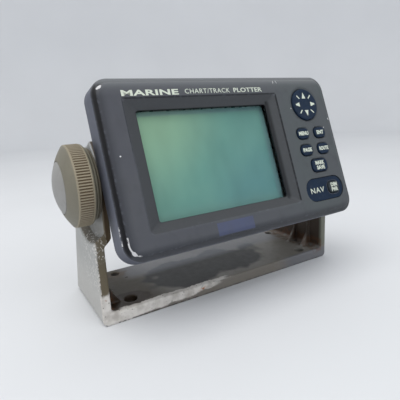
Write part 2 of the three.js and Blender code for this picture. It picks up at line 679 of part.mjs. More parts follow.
function knobBody(side, k) {
  return turnedX(side, [
    [0, k.studTo + GAP], [STUD.boreR, k.studTo + GAP], [STUD.boreR, k.back], [k.rimR, k.back],
    [k.rimR, k.knurlFrom - 0.3], [k.r, k.knurlFrom], [k.r, k.knurlTo], [k.capR + GAP, k.face],
    [k.capR + GAP, k.capSeat], [0, k.capSeat],
  ], LARGE_ROUND_STEPS);
}

// A cap with a domed face.
function knobCap(side, k) {
  const profile = [[0, k.capSeat + GAP], [k.capR, k.capSeat + GAP]];
  for (const share of [1, 0.85, 0.65, 0.4, 0]) {
    profile.push([share * k.capR, k.face + k.dome * (1 - share * share)]);
  }
  return turnedX(side, profile, LARGE_ROUND_STEPS);
}

function clampParts(head, side) {
  const name = side < 0 ? 'left' : 'right';
  const k = side < 0 ? LEFT_KNOB : RIGHT_KNOB;
  place(head, `${name}_knob`, 'knob', knobBody(side, k));
  place(head, `${name}_knob_cap`, 'knob', knobCap(side, k));
  place(head, `${name}_stud`, 'steel', diskX(side, STUD.r, STUD.from, k.studTo, SMALL_ROUND_STEPS));
  const knobWasher = ringX(side, WASHER.boreR, k.washerR, BRACKET.earOuter + GAP, k.back - GAP);
  place(head, `${name}_knob_washer`, 'knob', knobWasher);
  const padBore = INSERT.r + 0.5;
  const headWasher = ringX(side, padBore, WASHER.headSideR, SIDE_BOSS.to + GAP, BRACKET.earInner - GAP);
  place(head, `${name}_friction_washer`, 'rubber', headWasher);
  const insert = ringX(side, STUD.boreR, INSERT.r, INSERT.from, INSERT.to, SMALL_ROUND_STEPS);
  place(head, `${name}_threaded_insert`, 'brass', insert);
}

// ---------------------------------------------------------------- assembly

const chartplotter = new THREE.Group();
place(chartplotter, 'mounting_bracket', 'bracket', bracket());

const head = new THREE.Group();
head.position.set(0, PIVOT.y, PIVOT.z);
head.rotation.x = -LEAN;
chartplotter.add(head);

const face = new THREE.Group();
face.position.set(0, -FACE_TO_PIVOT, 0);
head.add(face);

place(face, 'front_bezel', 'shell', frontBezel());
displayParts(face);
controlParts(face);
caseParts(face);
boardParts(face);
connectorParts(face);
clampParts(head, -1);
clampParts(head, 1);

export default chartplotter;
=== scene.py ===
"""The looks of a chartplotter display on its tilting bracket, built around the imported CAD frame.

Sizes are in millimetres and become metres when a mesh is made. Pieces of the display head are
drawn about its face centre: u right, v up the face, w out of it. Everything else is drawn in
the frame's own X, Y and Z.
"""
import json
from math import atan2, cos, pi, radians, sin

import bmesh
import bpy
import numpy as np
from mathutils import Matrix, Vector
from mathutils.geometry import tessellate_polygon


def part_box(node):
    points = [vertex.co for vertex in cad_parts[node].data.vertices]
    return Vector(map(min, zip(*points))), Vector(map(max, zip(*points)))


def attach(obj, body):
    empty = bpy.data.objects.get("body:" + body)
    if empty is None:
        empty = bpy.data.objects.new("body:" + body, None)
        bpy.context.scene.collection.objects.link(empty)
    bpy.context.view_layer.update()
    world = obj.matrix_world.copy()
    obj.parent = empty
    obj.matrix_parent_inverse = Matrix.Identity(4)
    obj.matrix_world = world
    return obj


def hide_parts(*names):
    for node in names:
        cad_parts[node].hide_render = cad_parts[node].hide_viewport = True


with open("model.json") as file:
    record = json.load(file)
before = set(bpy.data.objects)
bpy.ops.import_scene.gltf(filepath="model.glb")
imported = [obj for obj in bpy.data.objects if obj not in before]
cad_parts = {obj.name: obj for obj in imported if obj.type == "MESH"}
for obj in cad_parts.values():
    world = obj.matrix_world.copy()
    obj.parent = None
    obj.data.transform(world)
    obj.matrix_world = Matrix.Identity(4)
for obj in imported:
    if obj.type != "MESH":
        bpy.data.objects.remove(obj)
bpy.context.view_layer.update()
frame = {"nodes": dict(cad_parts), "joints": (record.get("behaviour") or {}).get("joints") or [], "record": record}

MM = 0.001
JOINTS = {joint["name"]: joint for joint in frame["joints"]}
PIVOT = Vector(JOINTS["head_tilt"]["pos_m"])
PRESS = Vector(JOINTS["menu_button_press"]["axis"])
LEAN = atan2(-PRESS.z, PRESS.y)
FACE_TO_PIVOT = 34.7
HEAD = (
    Matrix.Translation(PIVOT)
    @ Matrix.Rotation(-LEAN, 4, "X")
    @ Matrix.Translation((0, -FACE_TO_PIVOT * MM, 0))
)
KEYS = ("menu", "enter", "display", "goto", "mark", "power")

# Front shell: flat face, rolled edge, channel darkened with grime and painted shade, rim and side wall.
PLATEAU = (86, 49, 8)
EDGE_PROFILE = [  # how far out from the plateau's nominal edge, w, wear, and grime with painted shade
    (-3.2, 0, 0, 0), (-2.5, -0.07, 0, 0), (-1.8, -0.2, 0, 0), (-1.3, -0.36, 0.1, 0),
    (-0.85, -0.58, 0.5, 0.1), (-0.45, -0.88, 1, 0.3), (-0.15, -1.2, 0.4, 0.8), (0.05, -1.5, 0, 1),
    (0.4, -1.7, 0, 1), (1, -1.85, 0, 1), (1.7, -2.05, 0, 0.9), (2.1, -2.2, 0.4, 0.6),
    (2.45, -2.45, 1, 0.2), (2.62, -2.85, 0.6, 0), (3.55, -13.9, 0, 0), (3.3, -14.5, 0.3, 0),
]
SHELL_BACK = -3
SEAT = (86.1, 49.2, 8.1)
INNER = (84, 46.8, 6)
SEAT_W = -10.6
WINDOW_U = -16.8
WINDOW_OUT = (55.75, 39, 3)
WINDOW_IN = (47.5, 32.6, 1.5)
WINDOW_SLOPE = -4
WINDOW_WALL = 2.5
KEY_FIT = 0.3
KEY_CORNER = 3.2
KEY_PROUD = 0.9
KEY_LIP = (1, 0.8)
DIMPLE = 0.4
CURSOR_HOLE = 11.9
PAD_DISH = [(8, 0.76), (5, 0.62), (2.5, 0.46), (0.8, 0.41)]  # radius, height above the face
CURSOR_WELL = 13.4
BADGE_WELL = -1.4

# Rear case.
CASE_RINGS = [  # half width, half height and corner, out, w
    ((79.5, 48.4, 8), 0, -13), ((79.5, 48.4, 8), 0, -44.6), ((79.3, 48.2, 8), 0, -45.8),
    ((78.8, 47.7, 8), 0, -47), ((76, 44.6, 8), 0, -55.6), ((75.1, 43.6, 7.6), 0, -57),
    ((74.1, 42.6, 7), 0, -57.75), ((72.6, 41.1, 6), 0, -58),
]
PORTS = [("power_socket", 10.5, 0.3), ("antenna_jack", 5.5, 0.3), ("ground_stud", 2, 0.4)]  # radius, gap
CASE_BACK = -58
CASE_WALL = 2.5
SCREW_AT = (75.2, 43.7)
SCREW_POST, SCREW_WELL, SCREW_HOLE = 7.2, 4.6, 1.9  # radii
SIDE_BOSS = (17, 83.2)  # radius, how far out it reaches
INSERT_BOSS, INSERT_HOLE = 9, 6.3  # radii round the threaded inserts

# Bracket.
ARM_THICK = 5.5
FLOOR_THICK = 8
BRACKET_CORNER = 3
BRACKET_HOLES = [(-74, -22, 4.25), (74, -25, 4.25), (-69.7, 23, 3), (84, 24.5, 3)]
EAR_RADIUS = 22.6
EAR_CREST = ((-21.5, 112), (-29, 103))
GUSSET_YS = (-20.5, -5)
GUSSET_EDGE = ((10, 0), (6, 6), (2.4, 11.5), (1.2, 22), (0, 38))
EAR_PAD = [(34.5, 85.3), (36.2, 86.6)]  # the ear's swelling towards the head: radius, x
DISH = [(31, 89.3), (32.3, 90), (34, 93), (35.4, 95.4)]  # the hollow round the knob: radius, x
STUD_HOLE = 4.6
VOXEL = 0.62


def srgb(red, green, blue):
    """A linear colour from a screen colour in 0 to 255."""
    def linear(value):
        value = value / 255
        return value / 12.92 if value <= 0.04045 else ((value + 0.055) / 1.055) ** 2.4
    return (linear(red), linear(green), linear(blue), 1)


def lighter(colour, factor):
    """A colour with its light multiplied, kept within white."""
    return (*(min(1, channel * factor) for channel in colour[:3]), 1)


def head_box(node):
    """A CAD node's lowest and highest (u, v, w) on the head, in millimetres."""
    points = np.array([vertex.co for vertex in frame["nodes"][node].data.vertices])
    turn = np.array(HEAD.inverted())
    local = (points @ turn[:3, :3].T + turn[:3, 3]) / MM
    local = np.column_stack((local[:, 0], local[:, 2], -local[:, 1]))
    return local.min(0), local.max(0)


def centre_of(node):
    """A CAD node's middle (u, v) and half sizes on the head."""
    low, high = head_box(node)
    return (low + high) / 2, (high - low) / 2


# Materials.


class Paint:
    """One node material in the making. Lengths are millimetres; each method returns a socket."""

    def __init__(self, name):
        self.material = bpy.data.materials.new(name)
        self.material.use_nodes = True
        self.tree = self.material.node_tree
        self.shader = self.tree.nodes["Principled BSDF"]
        place = self.node("TexCoord").outputs["Object"]
        scaled = self.node("VectorMath", {0: place, "Scale": 1 / MM}, operation="SCALE")
        self.at = scaled.outputs[0]
        split = self.node("SeparateXYZ", {0: self.at})
        self.x, self.y, self.z = split.outputs

    def node(self, kind, inputs=None, **settings):
        made = self.tree.nodes.new("ShaderNode" + kind)
        for key, value in settings.items():
            setattr(made, key, value)
        for key, value in (inputs or {}).items():
            self.feed(made.inputs[key], value)
        return made

    def feed(self, socket, value):
        if isinstance(value, bpy.types.NodeSocket):
            self.tree.links.new(value, socket)
        else:
            socket.default_value = value

    def math(self, operation, a, b=0, c=0):
        return self.node("Math", {0: a, 1: b, 2: c}, operation=operation).outputs[0]

    def scaled(self, value, factor, plus):
        return self.math("MULTIPLY_ADD", value, factor, plus)

    def inverse(self, value):
        return self.math("SUBTRACT", 1, value)

    def distance(self, a, b):
        return self.math("SQRT", self.math("ADD", self.product(a, a), self.product(b, b)))

    def product(self, *factors):
        total = factors[0]
        for factor in factors[1:]:
            total = self.math("MULTIPLY", total, factor)
        return total

    def most(self, *values):
        total = values[0]
        for value in values[1:]:
            total = self.math("MAXIMUM", total, value)
        return total

    def ramp(self, value, low, high):
        """0 below low, 1 above high, smooth between; the other way round if low is above high."""
        return self.node(
            "MapRange", {0: value, 1: low, 2: high}, interpolation_type="SMOOTHSTEP"
        ).outputs[0]

    def band(self, value, low, high, soft):
        """1 between low and high, falling to 0 over the soft distance outside them."""
        return self.product(
            self.ramp(value, low - soft, low + soft * 0.2), self.ramp(value, high + soft, high - soft * 0.2)
        )

    def noise(self, size, detail=3, seed=0, stretch=None):
        """Noise around 0.5 whose blobs are about size across."""
        at = self.at
        if stretch:
            at = self.node("VectorMath", {0: at, 1: stretch}, operation="MULTIPLY").outputs[0]
        inputs = {"Vector": at, "Scale": 1 / size, "Detail": detail, "W": seed}
        return self.node("TexNoise", inputs, noise_dimensions="4D").outputs[0]

    def patches(self, low, high, *noise):
        """Blobs of noise: 0 where it is below low, 1 above high. noise is what noise() takes."""
        return self.ramp(self.noise(*noise), low, high)

    def specks(self, size, share, seed=0):
        """Scattered round specks: 1 inside one. share is how much of each cell a speck fills."""
        at = self.node("VectorMath", {0: self.at, 1: (seed, seed, seed)}, operation="ADD").outputs[0]
        cell = self.node("TexVoronoi", {"Vector": at, "Scale": 1 / size})
        return self.ramp(cell.outputs["Distance"], share, share * 0.6)

    def mix(self, amount, a, b):
        return self.node("Mix", {0: amount, 6: a, 7: b}, data_type="RGBA").outputs[2]

    def tone(self, colour, *masks):
        """Lays a screen colour over the base colour, as far as the masks' product lets it."""
        self.base = self.mix(self.product(*masks), self.base, srgb(*colour))

    def attribute(self, name):
        return self.node("Attribute", attribute_name=name).outputs["Fac"]

    def bump(self, height, distance, normal=None):
        inputs = {"Height": height, "Distance": distance * MM}
        if normal:
            inputs["Normal"] = normal
        return self.node("Bump", inputs).outputs[0]

    def spot(self, across, up, at, half, angle=0, rough=0.35, seed=0):
        """A ragged oval mark: 1 inside. across and up are the two coordinates that it lies in."""
        du = self.math("SUBTRACT", across, at[0])
        dv = self.math("SUBTRACT", up, at[1])
        cosine, sine = cos(radians(angle)), sin(radians(angle))
        along = self.math("ADD", self.product(du, cosine / half[0]), self.product(dv, sine / half[0]))
        aside = self.math("ADD", self.product(du, -sine / half[1]), self.product(dv, cosine / half[1]))
        far = self.distance(along, aside)
        ragged = self.math("SUBTRACT", self.noise(min(half) * 1.2, 2, seed), 0.5)
        return self.ramp(self.scaled(ragged, rough * 4, far), 1.1, 0.9)

    def finish(self, roughness, normal=None, metallic=0, specular=0.5):
        values = {"Base Color": self.base, "Roughness": roughness, "Metallic": metallic}
        values["Specular IOR Level"] = specular
        if normal:
            values["Normal"] = normal
        for key, value in values.items():
            self.feed(self.shader.inputs[key], value)
        return self.material


def shell_plastic():
    """Satin dark grey moulded plastic with grime and painted shade in the rim's channel, painted light and shade
    on the face, recess and side walls, chips and a glue mark.
    """
    p = Paint("shell_grey")
    u, v, w = p.x, p.z, p.math("MULTIPLY", p.y, -1)
    p.base = p.mix(p.ramp(u, -60, 80), srgb(71, 73, 80), srgb(76, 82, 84))
    p.tone((76, 78, 83), p.patches(0.35, 0.7, 34, 4, 1))
    p.tone((64, 66, 71), p.patches(0.5, 0.72, 7, 5, 2), 0.35)
    # Painted highlight: the face is painted lighter towards its rolled top edge, standing in for the light from
    # above.
    p.tone((90, 93, 97), p.ramp(v, 39.5, 44), 0.3)
    p.tone((112, 115, 118), p.ramp(v, 43, 50.5), 0.85)
    # Painted shade: the rolled left and bottom edges of the face are darkened, as they turn away from the light.
    edge_shade = p.most(p.ramp(u, -79.5, -85), p.ramp(v, -44, -48.5))
    p.tone((40, 42, 48), edge_shade, p.ramp(w, -1.6, -0.9), p.ramp(v, 47, 38), 0.5)
    front = p.ramp(w, -5, -4.3)
    in_hole = p.product(p.band(u, -84, 84, 0.3), p.band(v, -47.5, 47.5, 0.3))
    in_window = p.product(
        p.band(u, WINDOW_U - WINDOW_OUT[0], WINDOW_U + WINDOW_OUT[0], 0.4),
        p.band(v, -WINDOW_OUT[1], WINDOW_OUT[1], 0.4),
    )
    sloped = p.product(p.ramp(w, -0.35, -0.6), in_window)
    right_slope_shade = p.product(p.ramp(u, WINDOW_U + 46.5, WINDOW_U + 48), p.ramp(w, -2.4, -3.4), sloped)
    # Painted shade: the window recess's slopes are painted darker than the face.
    p.tone((64, 66, 69), sloped, 0.9)
    # Painted shade: the deep part of the recess's right slope is painted near black.
    p.tone((24, 27, 31), right_slope_shade, 0.9)
    # Painted shadow: a thin dark line along the recess's outer step, strongest on the right and top, faint on the
    # left.
    step = p.most(
        p.product(p.band(u, WINDOW_U + 55.1, WINDOW_U + 56.1, 0.15), p.band(v, -37, 38, 1)),
        p.product(p.band(v, 38.5, 39.4, 0.15), p.band(u, WINDOW_U - 55, WINDOW_U + 55, 1), 0.75),
        p.product(p.band(u, WINDOW_U - 56, WINDOW_U - 55.4, 0.15), p.band(v, 10, 38, 6), 0.5),
    )
    p.tone((16, 17, 21), step, p.ramp(w, -1.2, -0.9), 0.9)
    # Painted shade: the recess's deep walls, grey plastic in shadow, are painted near black.
    shaded_walls = p.product(
        p.ramp(w, WINDOW_SLOPE + 0.25, WINDOW_SLOPE - 0.15),
        p.band(u, WINDOW_U - 50, WINDOW_U + 50, 0.4), p.band(v, -35, 35, 0.4),
    )
    p.tone((16, 16, 20), shaded_walls)
    # Painted reflection: the side wall is painted a lighter blue-grey, standing in for the bright surroundings it
    # reflects.
    side = p.product(p.ramp(w, -2.3, -2.9), p.inverse(in_window))
    p.tone((90, 94, 107), side, 0.8)
    # Painted shade: the left side wall darkens where the bracket and knob shade it.
    side_shade = p.product(side, p.ramp(u, -80, -86), p.ramp(w, -3.5, -12), p.band(v, -30, 14, 9))
    p.tone((30, 31, 36), side_shade, 0.75)
    # Grime and painted shade: darkens the rim's channel, the holes round the keys and the window's inner walls, as
    # the mesh's attribute marks them.
    grime = p.product(p.attribute("grime"), p.patches(0.02, 0.3, 5, 3, 3), p.ramp(v, 50.2, 47.5))
    grime = p.product(grime, p.most(p.ramp(u, -83, -86.2), in_hole, 0.4))
    p.tone((14, 14, 18), grime)
    glue = p.product(p.band(u, -30.7, -4, 0.3), p.band(v, -48, -40.3, 0.35), p.ramp(w, -0.6, -0.3))
    streak = p.ramp(p.noise(9, 3, 4, (1, 1, 0.3)), 0.3, 0.6)
    p.tone((72, 79, 107), glue, p.scaled(streak, 0.3, 0.55))
    edge = p.product(p.attribute("wear"), p.patches(0.5, 0.66, 2.2, 3, 5))
    p.tone((104, 108, 118), edge, 0.3)
    along_edge = p.product(
        p.ramp(p.attribute("wear"), 0.35, 0.6), p.band(v, -48, -37.5, 0.8), p.ramp(u, -79, -81),
        p.ramp(w, -1.8, -1.4), p.patches(0.36, 0.46, 2.6, 3, 17),
    )
    chips = [  # place, half sizes, angle, raggedness
        ((-83.4, -46.3), (1.7, 0.8), -52, 0.25), ((-83.6, 45.8), (1.8, 0.8), 40, 0.3),
        ((-80.1, 6.3), (0.5, 0.45), 0, 0.1), ((39.4, 47.1), (1.3, 0.22), 75, 0.3),
        ((42.3, 47.3), (1.2, 0.2), 100, 0.3), ((84.9, 17.6), (1.4, 0.7), -25, 0.3),
        ((77.3, 11.6), (0.42, 0.35), 0, 0.2), ((50.1, 27.5), (0.35, 0.4), 0, 0.2),
    ]
    spots = [p.spot(u, v, *chip, 6 + i) for i, chip in enumerate(chips)]
    rim_chips = p.product(
        p.patches(0.48, 0.56, 1.6, 3, 14), p.ramp(p.attribute("wear"), 0.5, 0.8),
        p.ramp(u, -86.5, -87.5), p.band(v, -45, -32, 2),
    )
    marks = p.product(p.most(along_edge, *spots, rim_chips), front)
    p.tone((204, 204, 206), marks)
    normal = p.bump(p.product(marks, -1), 0.12, p.bump(p.noise(0.42, 2, 15), 0.02))
    scuffs = p.noise(2.5, 4, 16, (1, 1, 0.25))
    return p.finish(p.scaled(glue, -0.1, p.scaled(scuffs, 0.18, 0.36)), normal, specular=0.22)


def cast_paint():
    """Warm grey paint on cast alloy: worn to pale primer at the left front; stained and darkened with painted
    shade inside.
    """
    p = Paint("bracket_cast")
    x, y, z, off_centre = p.x, p.y, p.z, p.math("ABSOLUTE", p.x)
    floor_top, dish_high = p.ramp(z, 6, 7.5), p.ramp(z, 40, 48)
    p.base = p.mix(p.patches(0.3, 0.7, 26, 4, 1), srgb(112, 109, 103), srgb(124, 122, 117))
    p.tone((96, 91, 82), p.patches(0.5, 0.7, 5, 4, 2), 0.4)
    left_top = p.product(p.ramp(x, -40, -62), floor_top)
    p.tone((64, 57, 45), left_top, 0.95)
    shade = p.product(p.spot(x, y, (-4, -3), (58, 23), 4, 0.5, 15), floor_top)
    p.tone((40, 40, 41), shade, 0.95)
    sheen = p.product(p.ramp(y, 2, 14), floor_top, p.band(x, -60, 80, 10))
    p.tone((128, 132, 142), sheen, 0.5)
    outer = p.ramp(x, -95.2, -95.9)
    dish = p.product(p.ramp(x, -88.2, -89), dish_high)
    outer = p.most(outer, dish)
    p.tone((166, 167, 165), outer, 0.9)
    p.tone((186, 184, 180), outer, p.ramp(z, 44, 14), 0.6)
    p.tone((92, 84, 68), p.ramp(x, -95.4, -94.6), dish, p.ramp(z, 72, 66), 0.25)
    behind = p.math("SUBTRACT", y, PIVOT[1] / MM)
    above = p.math("SUBTRACT", z, PIVOT[2] / MM)
    from_pivot = p.distance(behind, above)
    # Painted shadow: a dark brown arc on the hollow's lower wall, where the recess's edge casts shade.
    dish_shadow = p.product(p.band(from_pivot, 31.4, 35.2, 0.4), p.band(off_centre, 90.7, 95, 0.4))
    p.tone((88, 80, 64), dish_shadow, 0.75)
    front = p.ramp(y, -31.4, -32.4)
    brown = p.product(front, p.ramp(x, -95.6, -94.9), p.ramp(z, 97, 91))
    # The ear's crest is painted light grey: the outer paint's colour, with painted light from above.
    p.tone((176, 178, 180), p.ramp(z, 91, 97), p.ramp(y, -8, -16), 0.9)
    arms = p.ramp(z, 9, 12)
    p.tone((100, 91, 73), brown, arms, 0.9)
    p.tone((118, 112, 104), brown, p.inverse(arms), 0.6)
    right_end = p.product(front, p.ramp(x, 40, 60), p.ramp(z, 9.5, 8))
    p.tone((104, 106, 112), right_end, 0.8)
    inside = p.band(x, -90.2, 91, 0.3)
    not_dish = p.inverse(p.product(p.ramp(off_centre, 88.2, 89), dish_high))
    # Brown stain with painted shade on the right arm's inner face, which lies in the head's shadow.
    right_arm = p.product(p.ramp(x, 84, 88), inside, p.ramp(z, 8.5, 11), not_dish)
    p.tone((52, 38, 25), right_arm, 0.92)
    right_front = p.product(front, p.ramp(x, 88, 90), p.ramp(z, 9, 12))
    p.tone((104, 106, 96), right_front, 0.9)
    left_arm = p.product(p.ramp(x, -84, -88), inside, p.ramp(z, 8.5, 11), not_dish)
    p.tone((70, 54, 36), left_arm, 0.85)
    front_left = p.spot(x, y, (-76, -23), (17, 10), 0, 0.5, 3)
    # Rust stain with painted shade in the front-left corner, in the shadow of the gusset and arm.
    stain_and_shade = p.product(front_left, p.ramp(z, 46, 14), p.ramp(z, 2, 5), inside, p.ramp(y, -33.6, -32.6))
    p.tone((44, 31, 19), stain_and_shade, 0.92)
    rusty = p.product(stain_and_shade, p.ramp(x, -84, -88), p.patches(0.45, 0.6, 4, 4, 19))
    p.tone((112, 70, 38), rusty, 0.7)
    foot = p.product(p.band(x, 82, 91, 1), p.band(z, 7, 15, 3), p.patches(0.4, 0.55, 4, 4, 16))
    p.tone((92, 60, 36), foot, 0.5)
    back_left = p.product(p.spot(x, y, (-68, 21), (7, 5), 0, 0.5, 4), floor_top)
    p.tone((80, 62, 46), back_left, 0.5)
    dimple = p.product(p.spot(x, y, (-64.6, 11.8), (1.3, 1.1), 0, 0.2, 5), floor_top)
    p.tone((40, 28, 20), dimple)
    rust = p.patches(0.55, 0.7, 3.2, 5, 6)
    reach = p.most(
        p.product(p.band(x, -96, -84, 1.5), p.band(z, 18, 30, 5), p.ramp(y, -27, -31)),
        p.product(p.band(x, -34, -22, 8), p.ramp(z, 9, 5), front),
    )
    wave = p.noise(9, 5, 7)
    worn_to = p.scaled(wave, 46, x)
    strip = p.product(
        p.ramp(worn_to, 12, 4), p.ramp(z, 9.5, 8.2), front,
        p.ramp(p.scaled(wave, 6, p.scaled(x, -0.07, z)), 8, 9.2),
    )
    climb = p.product(p.ramp(x, -83, -87), front, p.ramp(p.scaled(wave, 30, z), 36, 31))
    arm_edge = p.product(
        p.ramp(x, -95, -95.5), p.ramp(y, -31, -32), p.patches(0.5, 0.56, 1.6, 3, 8),
        p.ramp(z, 66, 60),
    )
    back_to = p.scaled(p.noise(5, 4, 9), 7, y)
    flat_top = p.product(
        p.ramp(z, 7.2, 7.8), p.ramp(back_to, -26.4, -27.4), p.ramp(worn_to, 24, 14), p.ramp(x, -86, -82),
    )
    worn = p.most(strip, climb, arm_edge, flat_top)
    primer = p.mix(p.patches(0.4, 0.7, 6, 5, 10), srgb(212, 208, 203), srgb(176, 171, 165))
    primer = p.mix(p.product(rust, reach), primer, srgb(160, 104, 66))
    p.base = p.mix(worn, p.base, primer)
    scattered = p.product(p.specks(2.1, 0.24, 3.1), p.patches(0.46, 0.56, 8, 3, 11))
    pits = p.product(scattered, worn)
    p.tone((74, 70, 66), pits, 0.7)
    speckled = p.product(
        outer, p.ramp(z, 62, 50), p.ramp(z, 14, 26), p.ramp(y, 4, -14),
        p.most(scattered, p.patches(0.56, 0.61, 1.4, 4, 18)),
    )
    p.tone((208, 206, 202), speckled, 0.8)
    # Painted contact shadow along the front's bottom edge, broken into ragged dark chips.
    under = p.product(front, p.ramp(z, 1.6, 0.5), p.patches(0.46, 0.56, 2.6, 3, 17))
    p.tone((46, 42, 38), under, 0.8)
    bare = p.inverse(p.product(brown, arms))
    chips = p.product(p.attribute("wear"), p.patches(0.6, 0.68, 2.4, 4, 12), bare)
    p.tone((160, 158, 152), chips, 0.45)
    relief = p.scaled(pits, -1, p.product(worn, -0.6))
    normal = p.bump(relief, 0.14, p.bump(p.noise(0.9, 3, 13), 0.05))
    rough = p.scaled(p.noise(4, 3, 14), 0.25, 0.34)
    return p.finish(p.scaled(worn, 0.15, rough), normal, specular=0.3)


def knob_plastic(name, base_colour, soil):
    """Beige-grey moulded plastic; brown soil sits in the knurl's grooves."""
    p = Paint(name)
    p.base = p.mix(p.patches(0.3, 0.7, 14, 4, 1), base_colour, lighter(base_colour, 1.12))
    p.base = p.mix(p.product(p.patches(0.52, 0.72, 3.5, 4, 2), 0.35), p.base, lighter(base_colour, 0.75))
    # Painted highlight: the knurled band is painted lighter and warmer, standing in for the light from above on
    # its ribs.
    knurl = p.band(p.math("ABSOLUTE", p.x), 94.4, 103, 0.6)
    p.tone((150, 140, 119), knurl, 0.8)
    grime = p.product(p.attribute("grime"), p.scaled(p.noise(6, 3, 3), 0.5, 0.6))
    p.base = p.mix(p.math("MINIMUM", grime, 1), p.base, soil)
    normal = p.bump(p.noise(0.5, 2, 4), 0.02)
    rough = p.scaled(p.noise(5, 3, 5), 0.2, 0.38)
    return p.finish(rough, normal, specular=0.4)


def plain_plastic(name, colour, rough, grain=0.5, depth=0.02, dust=0.15, shine=0.4):
    """Moulded plastic or rubber: fine grain, faint colour drift and a little dust."""
    p = Paint(name)
    p.base = p.mix(p.patches(0.3, 0.7, 11, 4, 1), colour, lighter(colour, 1.25))
    p.tone((150, 150, 148), p.patches(0.5, 0.75, 2.4, 4, 2), dust)
    normal = p.bump(p.noise(grain, 2, 3), depth)
    rough = p.scaled(p.noise(4, 3, 4), 0.22, rough - 0.1)
    return p.finish(rough, normal, specular=shine)


def plated_metal(name, colour, tarnish, rough):
    """Plated or bare metal with fine turning marks and dull patches."""
    p = Paint(name)
    dull = p.patches(0.45, 0.72, 4.5, 5, 1)
    p.base = p.mix(p.product(dull, 0.7), colour, tarnish)
    normal = p.bump(p.noise(0.25, 2, 2, (1, 1, 0.1)), 0.01)
    shine = p.scaled(dull, 0.25, p.scaled(p.noise(1.5, 2, 3), 0.1, rough))
    return p.finish(shine, normal, metallic=1)


def circuit_board():
    """Green solder mask with the faint lines of tracks under it and bare pads."""
    p = Paint("circuit_board")
    lanes = p.node("TexWave", {"Vector": p.at, "Scale": 0.09, "Distortion": 3, "Detail": 1})
    tracks = p.ramp(lanes.outputs[1], 0.7, 0.8)
    p.base = p.mix(p.product(tracks, 0.6), srgb(26, 84, 52), srgb(52, 122, 74))
    pads = p.specks(3, 0.22)
    p.tone((190, 186, 170), pads, 0.8)
    normal = p.bump(p.math("ADD", tracks, pads), 0.03)
    return p.finish(p.scaled(p.noise(3, 2, 1), 0.2, 0.3), normal)


def display_film():
    """The switched-off screen: a green film that drifts to teal, with a paler unlit border."""
    p = Paint("lcd_green")
    about = p.node("VectorMath", {0: p.at, 1: PIVOT / MM}, operation="SUBTRACT").outputs[0]
    turned_back = p.node("VectorRotate", {"Vector": about, "Axis": (1, 0, 0), "Angle": LEAN})
    u, _, v = p.node("SeparateXYZ", {0: turned_back.outputs[0]}).outputs
    right = p.ramp(u, WINDOW_U - 46, WINDOW_U + 44)
    down = p.ramp(v, 30, -32)
    drift = p.math("ADD", p.product(right, 0.62), p.product(down, 0.45))
    drift = p.scaled(p.noise(46, 2, 1), 0.12, drift)
    p.base = p.mix(p.ramp(drift, 0, 0.62), srgb(149, 175, 148), srgb(109, 149, 141))
    p.tone((99, 137, 140), p.ramp(drift, 0.5, 1.1))
    fade = p.product(p.ramp(v, -24, -33), 0.35)
    p.tone((128, 155, 151), fade)
    rim = p.most(p.ramp(v, 29.6, 31.6), p.ramp(u, WINDOW_U + 43.6, WINDOW_U + 46.4))
    p.tone((122, 140, 150), rim, 0.55)
    smudge = p.patches(0.4, 0.7, 14, 4, 3)
    p.tone((142, 172, 156), smudge, 0.08)
    return p.finish(p.scaled(p.noise(8, 2, 2), 0.1, 0.4), specular=0.25)


def window_glass():
    """A clear pane with a faint green tint and fainter smears; the film behind it carries the gloss."""
    p = Paint("window_glass")
    smears = p.ramp(p.noise(16, 2, 1, (1, 1, 0.4)), 0.4, 0.75)
    tint = p.mix(smears, (0.93, 0.97, 0.96, 1), (0.9, 0.935, 0.93, 1))
    clear = p.node("BsdfTransparent", {"Color": tint})
    p.feed(p.tree.nodes["Material Output"].inputs["Surface"], clear.outputs[0])
    p.tree.nodes.remove(p.shader)
    return p.material


def printed(name, colour):
    """Screen-printed ink, slightly worn through."""
    p = Paint(name)
    thin = p.patches(0.52, 0.75, 1.1, 4, 1)
    p.base = p.mix(p.product(thin, 0.35), colour, lighter(colour, 0.5))
    return p.finish(p.scaled(p.noise(2, 2, 2), 0.2, 0.45), p.bump(p.noise(0.4), 0.01))


def foil_label():
    """A blank satin foil label with a dark printed border and empty ruled boxes."""
    p = Paint("label_foil")
    u, v = p.x, p.z
    frame_line = p.inverse(p.product(p.band(u, -33.6, 33.6, 0.1), p.band(v, 8.4, 29.6, 0.1)))
    inner = p.product(p.band(u, -34.4, 34.4, 0.1), p.band(v, 7.6, 30.4, 0.1))
    rules = p.most(p.band(v, 14.7, 15, 0.1), p.band(v, 21.7, 22, 0.1), p.band(u, -8.2, -7.9, 0.1))
    ink = p.product(p.most(frame_line, rules), inner)
    p.base = p.mix(p.patches(0.3, 0.7, 9, 4, 1), srgb(168, 170, 172), srgb(184, 186, 188))
    p.tone((44, 46, 52), ink, 0.85)
    brushed = p.noise(0.6, 3, 2, (0.05, 1, 1))
    return p.finish(p.scaled(brushed, 0.2, 0.3), p.bump(brushed, 0.01), metallic=0.35)


